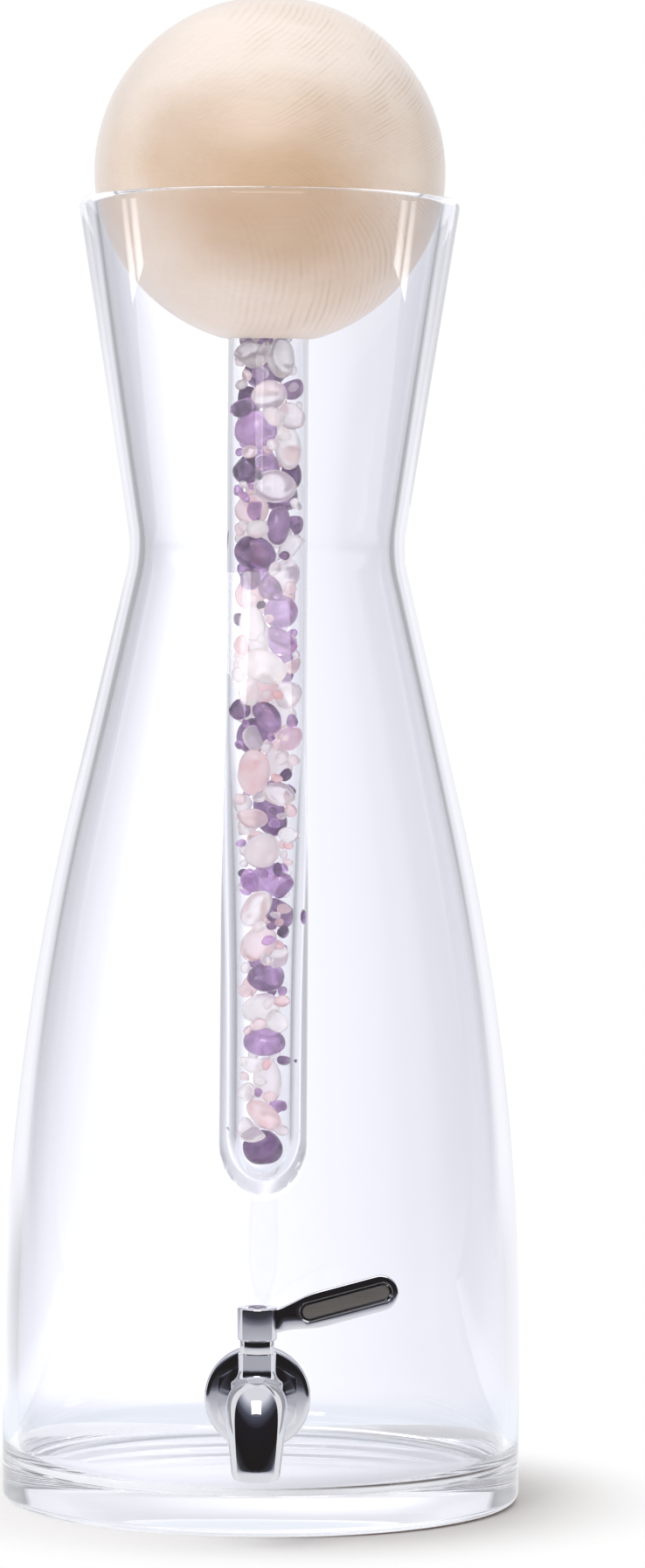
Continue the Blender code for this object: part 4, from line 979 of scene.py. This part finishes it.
def drawArm(v):
    bm = bmesh.new()
    tip = v["reach"] / math.cos(math.radians(v["tilt"])) - v["paddleWidth"] / 2
    neck, paddle = v["neckWidth"] / 2, v["paddleWidth"] / 2
    run = v["paddleStart"] - v["neckEnd"]
    ease = lambda t: (v["neckEnd"] + run * t, neck + (paddle - neck) * t * t * (3 - 2 * t))
    first = pen = penAt(bm, v["rootStart"], -neck)
    pen = lineTo(bm, pen, v["neckEnd"], -neck)
    pen = curveTo(bm, pen, lambda t: (ease(t)[0], -ease(t)[1]), 14)
    pen = lineTo(bm, pen, tip, -paddle)
    pen = arcTo(bm, pen, tip, 0, 180, 24)
    pen = lineTo(bm, pen, v["paddleStart"], paddle)
    pen = curveTo(bm, pen, lambda t: ease(1 - t), 14)
    closeLine(bm, lineTo(bm, pen, v["rootStart"], neck), first)
    return roundEdges(plateOf(bm, v["thickness"]), v["bevel"], 4)


def drawCapsule(v, shrink, depth):
    bm = bmesh.new()
    radius = v["inlayWidth"] / 2 - shrink
    far = v["reach"] / math.cos(math.radians(v["tilt"])) - v["inlayMargin"] - v["inlayWidth"] / 2
    first = pen = penAt(bm, v["inlayStart"], -radius)
    pen = lineTo(bm, pen, far, -radius)
    pen = arcTo(bm, pen, far, 0, 180, 20)
    pen = lineTo(bm, pen, v["inlayStart"], radius)
    pen = arcTo(bm, pen, v["inlayStart"], 0, 179, 20)
    closeLine(bm, pen, first)
    return plateOf(bm, depth)


def flareLip(bm, v):  # opens the recess towards the lever's face
    near = [vert for vert in bm.verts if vert.co.y < 0]
    length = max(vert.co.x for vert in near) - min(vert.co.x for vert in near)
    middle = min(vert.co.x for vert in near) + length / 2
    grow = (1 + 2 * v["lipFlare"] / length, 1, 1 + 2 * v["lipFlare"] / v["inlayWidth"])
    bmesh.ops.scale(bm, verts=near, vec=grow, space=Matrix.Translation((-middle, 0, 0)))


def makeInlayFinish(v):
    material, tree, shader = newMaterial("satinInlay")
    along = addNode(tree, "ShaderNodeMapping", {"Vector": objectPoint(tree), "Scale": v["brushing"],
                    "Rotation": (0, math.radians(v["tilt"]), 0)}).outputs[0]
    brushed = addNoise(tree, along, 1.0, 3.0)
    feed(tree, shader, {"Base Color": addMix(tree, brushed, v["inlayDark"], v["inlayPale"]),
         "Roughness": addRange(tree, brushed, (0.0, 1.0), v["inlayRough"])})
    addBump(tree, shader, brushed, v["brushBump"], v["brushDepth"])
    return material


def makeHandle(v, hubFoot):
    hubRadius = -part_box("lever_handle")[0].x
    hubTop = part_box("handle_screw")[1].z + v["screwDown"]
    bm = bmesh.new()
    foot, floor = v["footEdge"], hubTop - v["wellDepth"]
    low, wellRadius = hubRadius - v["hubTaper"], v["screwRadius"] + v["screwRoom"]
    pen = lineThrough(bm, penAt(bm, 0, hubFoot), (low - foot, hubFoot), (low, hubFoot + foot),
                      (hubRadius, hubTop - v["hubRound"]))
    pen = arcTo(bm, pen, hubRadius - v["hubRound"], hubTop - v["hubRound"], 90, 8)
    lineThrough(bm, pen, (v["screwRadius"] + v["dishWidth"], hubTop), (wellRadius, hubTop - v["dish"]),
                (wellRadius, floor), (0, floor))
    hub = shift(spinUpright(bm, 96), (0, -valveFront, 0))
    recess = drawCapsule(v, 0, 2 * v["inlayDepth"])
    flareLip(recess, v)
    shift(recess, (0, -v["thickness"] / 2, 0))
    well = shift(rodOf(wellRadius, floor, hubTop + v["overcut"], 64), (0, -valveFront, 0))
    arm = combined(onArm(drawArm(v), hubFoot), "DIFFERENCE", onArm(recess, hubFoot))
    handle = combined(combined(arm, "UNION", hub), "DIFFERENCE", well)
    addSteel("lever-handle", handle, "lever", "lever_handle", sharp=30)


def makeInlay(v, hubFoot):
    face = v["thickness"] / 2 - v["inlayDepth"] + v["inlayClearance"]
    depth = v["inlayDepth"] - v["inlayClearance"] - v["inlaySink"]
    panel = shift(drawCapsule(v, v["inlayClearance"], depth), (0, -face - depth / 2, 0))
    panel = onArm(roundEdges(panel, v["inlayBevel"], 2), hubFoot)
    addPiece("lever-inlay", panel, "lever", makeInlayFinish(v), ["lever_inlay"])


def makeScrew(v):
    low, high, head = uprightSpan("handle_screw")
    screw, bolt = bmesh.new(), v["boltRadius"]
    under, edge = high - v["headDepth"], v["headRound"]
    pen = lineThrough(screw, penAt(screw, 0, low), (bolt, low), (bolt, under), (head, under), (head, high - edge))
    pen = arcTo(screw, pen, head - edge, high - edge, 90, 5)
    lineTo(screw, pen, 0, high)
    key = hexOf(v["socketFlats"], high - v["socketDepth"], high + v["keyOver"])
    screw = combined(spinUpright(screw, 48), "DIFFERENCE", key)
    addSteel("handle-screw", shift(screw, (0, -valveFront, 0)), "lever", "handle_screw")


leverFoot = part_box("lever_handle")[0].z
makeHandle(lever, leverFoot)
makeInlay(lever, leverFoot)
makeScrew(lever)
print("lever: done")


# CAD nodes that stay as they are, inside the valve, the gland and the lid

for material, nodes in (
    (bareSteel, ("valve_ball", "valve_stem", "stop_pin")),
    (valveWhite, ("inlet_seat", "outlet_seat")),
    (clearSilicone, ("lower_stem_seal", "upper_stem_seal", "lower_grip_ring", "upper_grip_ring", "vial_stopper")),
):
    for node in nodes:
        mesh = cadNodes[node].data
        mesh.materials.clear()
        mesh.materials.append(material)


# Stage: pale floor, soft light, and the room in front left dark for what mirrors it

stage = dict(
    floorFront=-0.52, floorBack=1.6, floorSide=0.90, floorDrop=0.0004, floorColour=(0.83, 0.82, 0.815),
    floorUnder=(0.97, 0.985, 1.0), floorHaze=3.0, floorRough=(0.55, 0.70), floorGloss=0.1, floorBounce=0.75,
    bounceColour=(1.0, 0.90, 0.78), floorFade=(0.092, 0.155), floorBeyond=(0.28, 0.50),
    sky=(0.95, 0.95, 0.96), skyTop=(1.12, 1.12, 1.12), skySide=(0.46, 0.46, 0.47), skyRise=(0.0, 0.8),
    roomFill=(0.46, 0.44, 0.42), fillEdge=(0.3, 0.8), roomGlass=(0.84, 0.85, 0.88), glassEdge=(0.1, 0.5),
    sideGlass=(0.30, 0.31, 0.36), sideEdge=(0.84, 0.91), farFloor=(-0.10, 0.02), farGlow=(1.16, 1.17, 1.18),
    roomTones=((-0.40, (0.90, 0.90, 0.92)), (-0.22, (0.80, 0.80, 0.83)), (-0.16, (0.58, 0.59, 0.63)),
               (-0.112, (0.40, 0.41, 0.46)), (-0.104, (0.22, 0.23, 0.28)), (-0.08, (0.06, 0.06, 0.075)),
               (0.0, (0.020, 0.017, 0.017)), (0.34, (0.022, 0.020, 0.024)), (0.52, (0.09, 0.095, 0.13)),
               (0.66, (0.34, 0.36, 0.43)), (0.82, (0.88, 0.88, 0.92))),
    roomEdge=(-0.12, -0.08), boardEdge=(0.66, 0.86), board=(0.14, 0.15, 0.19), boardRoom=(0.03, 0.03, 0.035),
    boardFloor=(0.50, 0.50, 0.53), boardFall=(-0.05, -0.70),
    cardStart=0.095, cardFlat=0.05, cardLift=0.0005, cardRound=0.555, cardRise=0.006, cardFoot=(0.90, 0.94, 1.0),
    cardHeight=1.5, cardSide=1.3, cardTint=(0.98, 0.98, 1.03),
    cardTones=((-1.0, 0.34), (-0.60, 0.48), (-0.36, 0.66), (-0.24, 0.80), (-0.17, 0.99), (-0.11, 1.24),
               (-0.04, 1.24), (0.07, 0.97), (0.15, 0.95), (0.28, 0.90), (0.42, 0.78), (0.60, 0.54), (1.0, 0.36)),
    wallFoot=(0.03, 0.09), wallTurns=2.5,
    wallTones=((0.0, 0.84), (0.13, 0.86), (0.22, 1.0), (0.44, 0.98), (0.54, 0.40)),
)


def addRamp(tree, share, tones):
    ramp = addNode(tree, "ShaderNodeValToRGB", {0: share})
    stops = ramp.color_ramp.elements
    while len(stops) < len(tones):
        stops.new(1.0)
    for stop, (place, tone) in zip(stops, tones):
        stop.position = place
        stop.color = (*tone, 1)
    return ramp.outputs[0]


def makeCard(s):  # what the glass shows behind it: a sweep, brighter to the left and darker past its sides
    bm = bmesh.new()
    bend, lift = s["cardStart"] + s["cardFlat"], s["cardLift"]
    pen = lineTo(bm, penAt(bm, s["cardStart"], lift), bend, lift)
    pen = arcTo(bm, pen, bend, s["cardRound"], 90, 24)
    lineTo(bm, pen, bend + s["cardRound"], s["cardHeight"])
    bmesh.ops.rotate(bm, verts=bm.verts, matrix=Matrix.Rotation(math.pi / 2, 3, "Z"))
    made = bmesh.ops.extrude_edge_only(bm, edges=bm.edges[:])["geom"]
    shift(bm, (2 * s["cardSide"], 0, 0), vertsOf(made))
    card = asObject(shift(bm, (-s["cardSide"], 0, 0)), "card")
    material, tree, _ = newMaterial("cardLight")
    across, _, up = splitPoint(tree, objectPoint(tree))
    tinted = lambda tones: [(place, [tone * tint for tint in s["cardTint"]]) for place, tone in tones]
    sweep = [((place + 1) / 2, tone) for place, tone in s["cardTones"]]
    tone = addRamp(tree, addRange(tree, across, (-1.0, 1.0)), tinted(sweep))
    tone = addMix(tree, addStep(tree, up, (0.0, s["cardRise"])), s["cardFoot"], tone)
    # above the base, light that only grazes a wall stays pale up to the line of the wall's inner face
    wall = addRamp(tree, addMath(tree, "ABSOLUTE", across), tinted(s["wallTones"]))
    few = addMath(tree, "LESS_THAN", lightPath(tree)["Transmission Depth"], s["wallTurns"])
    grazing = addMath(tree, "MULTIPLY", few, addStep(tree, up, s["wallFoot"]))
    setSurface(tree, addGlow(tree, addMix(tree, grazing, tone, wall)))
    card.data.materials.append(material)
    card.visible_camera = card.visible_diffuse = card.visible_shadow = False


def makeFloor(s):
    bm = bmesh.new()
    bmesh.ops.create_grid(bm, x_segments=2, y_segments=2, size=1)
    depth, middle = (s["floorBack"] - s["floorFront"]) / 2, (s["floorBack"] + s["floorFront"]) / 2
    bmesh.ops.scale(bm, verts=bm.verts, vec=(s["floorSide"], depth, 1))
    floor = asObject(shift(bm, (0, middle, -s["floorDrop"])), "floor")
    material, tree, shader = newMaterial("floorPaper")
    path = lightPath(tree)
    bounced = addMath(tree, "MINIMUM", path["Diffuse Depth"], 1.0)
    feed(tree, shader, {
        "Base Color": addMix(tree, path["Is Transmission Ray"], s["floorColour"], s["floorUnder"]),
        "Roughness": addHaze(tree, s["floorHaze"], *s["floorRough"])["Roughness"],
        "Specular IOR Level": s["floorGloss"], "Emission Color": s["bounceColour"],
        "Emission Strength": addMath(tree, "MULTIPLY", bounced, s["floorBounce"]),
    })
    distance = addVector(tree, "LENGTH", {0: objectPoint(tree)})["Value"]
    surface = shader.outputs[0]
    # away from the shadow the paper runs out into plain white, and behind glass into the world's own glow
    for ray, span, colour in (("Is Camera Ray", s["floorFade"], (1, 1, 1)),
                              ("Is Transmission Ray", s["floorBeyond"], s["farGlow"])):
        share = addMath(tree, "MULTIPLY", addStep(tree, distance, span), path[ray])
        surface = blend(tree, share, surface, addGlow(tree, colour))
    setSurface(tree, surface)
    floor.data.materials.append(material)
    floor.visible_glossy = False


def makeWorld(s):
    world = bpy.data.worlds.new("studio")
    scene.world = world
    world.use_nodes = True
    tree = world.node_tree
    tree.nodes.clear()
    across, depth, up = splitPoint(tree, addNode(tree, "ShaderNodeTexCoord").outputs["Generated"])
    aside, ahead = addMath(tree, "ABSOLUTE", across), addMath(tree, "MULTIPLY", depth, -1.0)
    path = lightPath(tree)
    # mirrors see a dark room in front that grows light upwards, and white behind
    inRoom = addStep(tree, ahead, s["roomEdge"])
    heights = [(height / 2 + 0.5, tone) for height, tone in s["roomTones"]]
    room = addRamp(tree, addMath(tree, "MULTIPLY_ADD", up, 0.5, 0.5), heights)
    mirrored = addMix(tree, inRoom, s["sky"], room)
    # smooth glass has dark boards at its sides, and a floor that grows light gently
    boards = addMix(tree, addStep(tree, aside, s["boardEdge"]), s["sky"], s["board"])
    below = addMix(tree, addStep(tree, up, s["boardFall"]), s["boardRoom"], s["boardFloor"])
    mirrored = addMix(tree, path["Is Singular Ray"], mirrored, addMix(tree, inRoom, boards, below))
    filled = addMix(tree, addStep(tree, up, s["skyRise"]), s["skySide"], s["skyTop"])
    filled = addMix(tree, addStep(tree, ahead, s["fillEdge"]), filled, s["roomFill"])
    # clear pieces see a white backdrop between grey sides, and the room in front
    through = addMix(tree, addStep(tree, aside, s["sideEdge"]), s["sky"], s["sideGlass"])
    through = addMix(tree, addStep(tree, ahead, s["glassEdge"]), through, s["roomGlass"])
    through = addMix(tree, addStep(tree, up, s["farFloor"]), s["farGlow"], through)
    around = addMix(tree, path["Is Glossy Ray"], filled, mirrored)
    direct = addMath(tree, "LESS_THAN", path["Diffuse Depth"], 0.5)
    around = addMix(tree, addMath(tree, "MULTIPLY", path["Is Transmission Ray"], direct), around, through)
    around = addMix(tree, path["Is Camera Ray"], around, (1, 1, 1))
    light = addNode(tree, "ShaderNodeBackground", {"Color": around, "Strength": 1.0})
    addNode(tree, "ShaderNodeOutputWorld", {"Surface": light.outputs[0]})


stripAim = dict(look=(0, -0.03, 0.563), power=0.0042, spread=10)
lamps = {
    side + "Strip" + end: dict(stripAim, place=(across, depth, 0.30), size=(width, 0.16))
    for side, across in (("left", -2.0), ("right", 2.0))
    for end, depth, width in (("Far", 0.27, 0.24), ("Near", -0.02, 0.26))
}
lamps["key"] = dict(place=(-0.47, -0.99, 1.02), look=(0, 0, 0.05), size=(0.50, 0.50), power=4.4, spread=180)
lamps["softbox"] = dict(place=(0.0, -1.0, 1.0), look=(0, -0.1, 0.1), size=(0.80, 0.52), power=2.9, spread=180)


def makeLamps():
    for name, spec in lamps.items():
        light = bpy.data.lights.new(name, "AREA")
        light.shape = "RECTANGLE"
        light.size, light.size_y = spec["size"]
        light.energy = spec["power"]
        light.spread = math.radians(spec["spread"])
        lamp = bpy.data.objects.new(name, light)
        lamp.location = spec["place"]
        lamp.rotation_euler = (Vector(spec["look"]) - lamp.location).to_track_quat("-Z", "Y").to_euler()
        lamp.visible_camera = False
        lamp.visible_glossy = name != "key"
        scene.collection.objects.link(lamp)


camera = dict(place=(0.024, -1.961, 0.3099), lens=131.3, sensor=36, down=1.88, aside=-0.13, roll=0.44)


def makeCamera(c):
    data = bpy.data.cameras.new("camera")
    data.lens = c["lens"]
    data.sensor_width = c["sensor"]
    view = bpy.data.objects.new("camera", data)
    pan = Matrix.Rotation(-math.radians(c["aside"]), 4, "Z")
    tilt = Matrix.Rotation(math.radians(90 - c["down"]), 4, "X")
    roll = Matrix.Rotation(math.radians(c["roll"]), 4, "Z")
    view.matrix_world = Matrix.Translation(c["place"]) @ pan @ tilt @ roll
    scene.collection.objects.link(view)
    scene.camera = view


makeFloor(stage)
makeCard(stage)
makeWorld(stage)
makeLamps()
makeCamera(camera)
scene.view_settings.view_transform = "Standard"
scene.cycles.max_bounces = 48
scene.cycles.transmission_bounces = 48
scene.cycles.glossy_bounces = 48
print("stage: done")
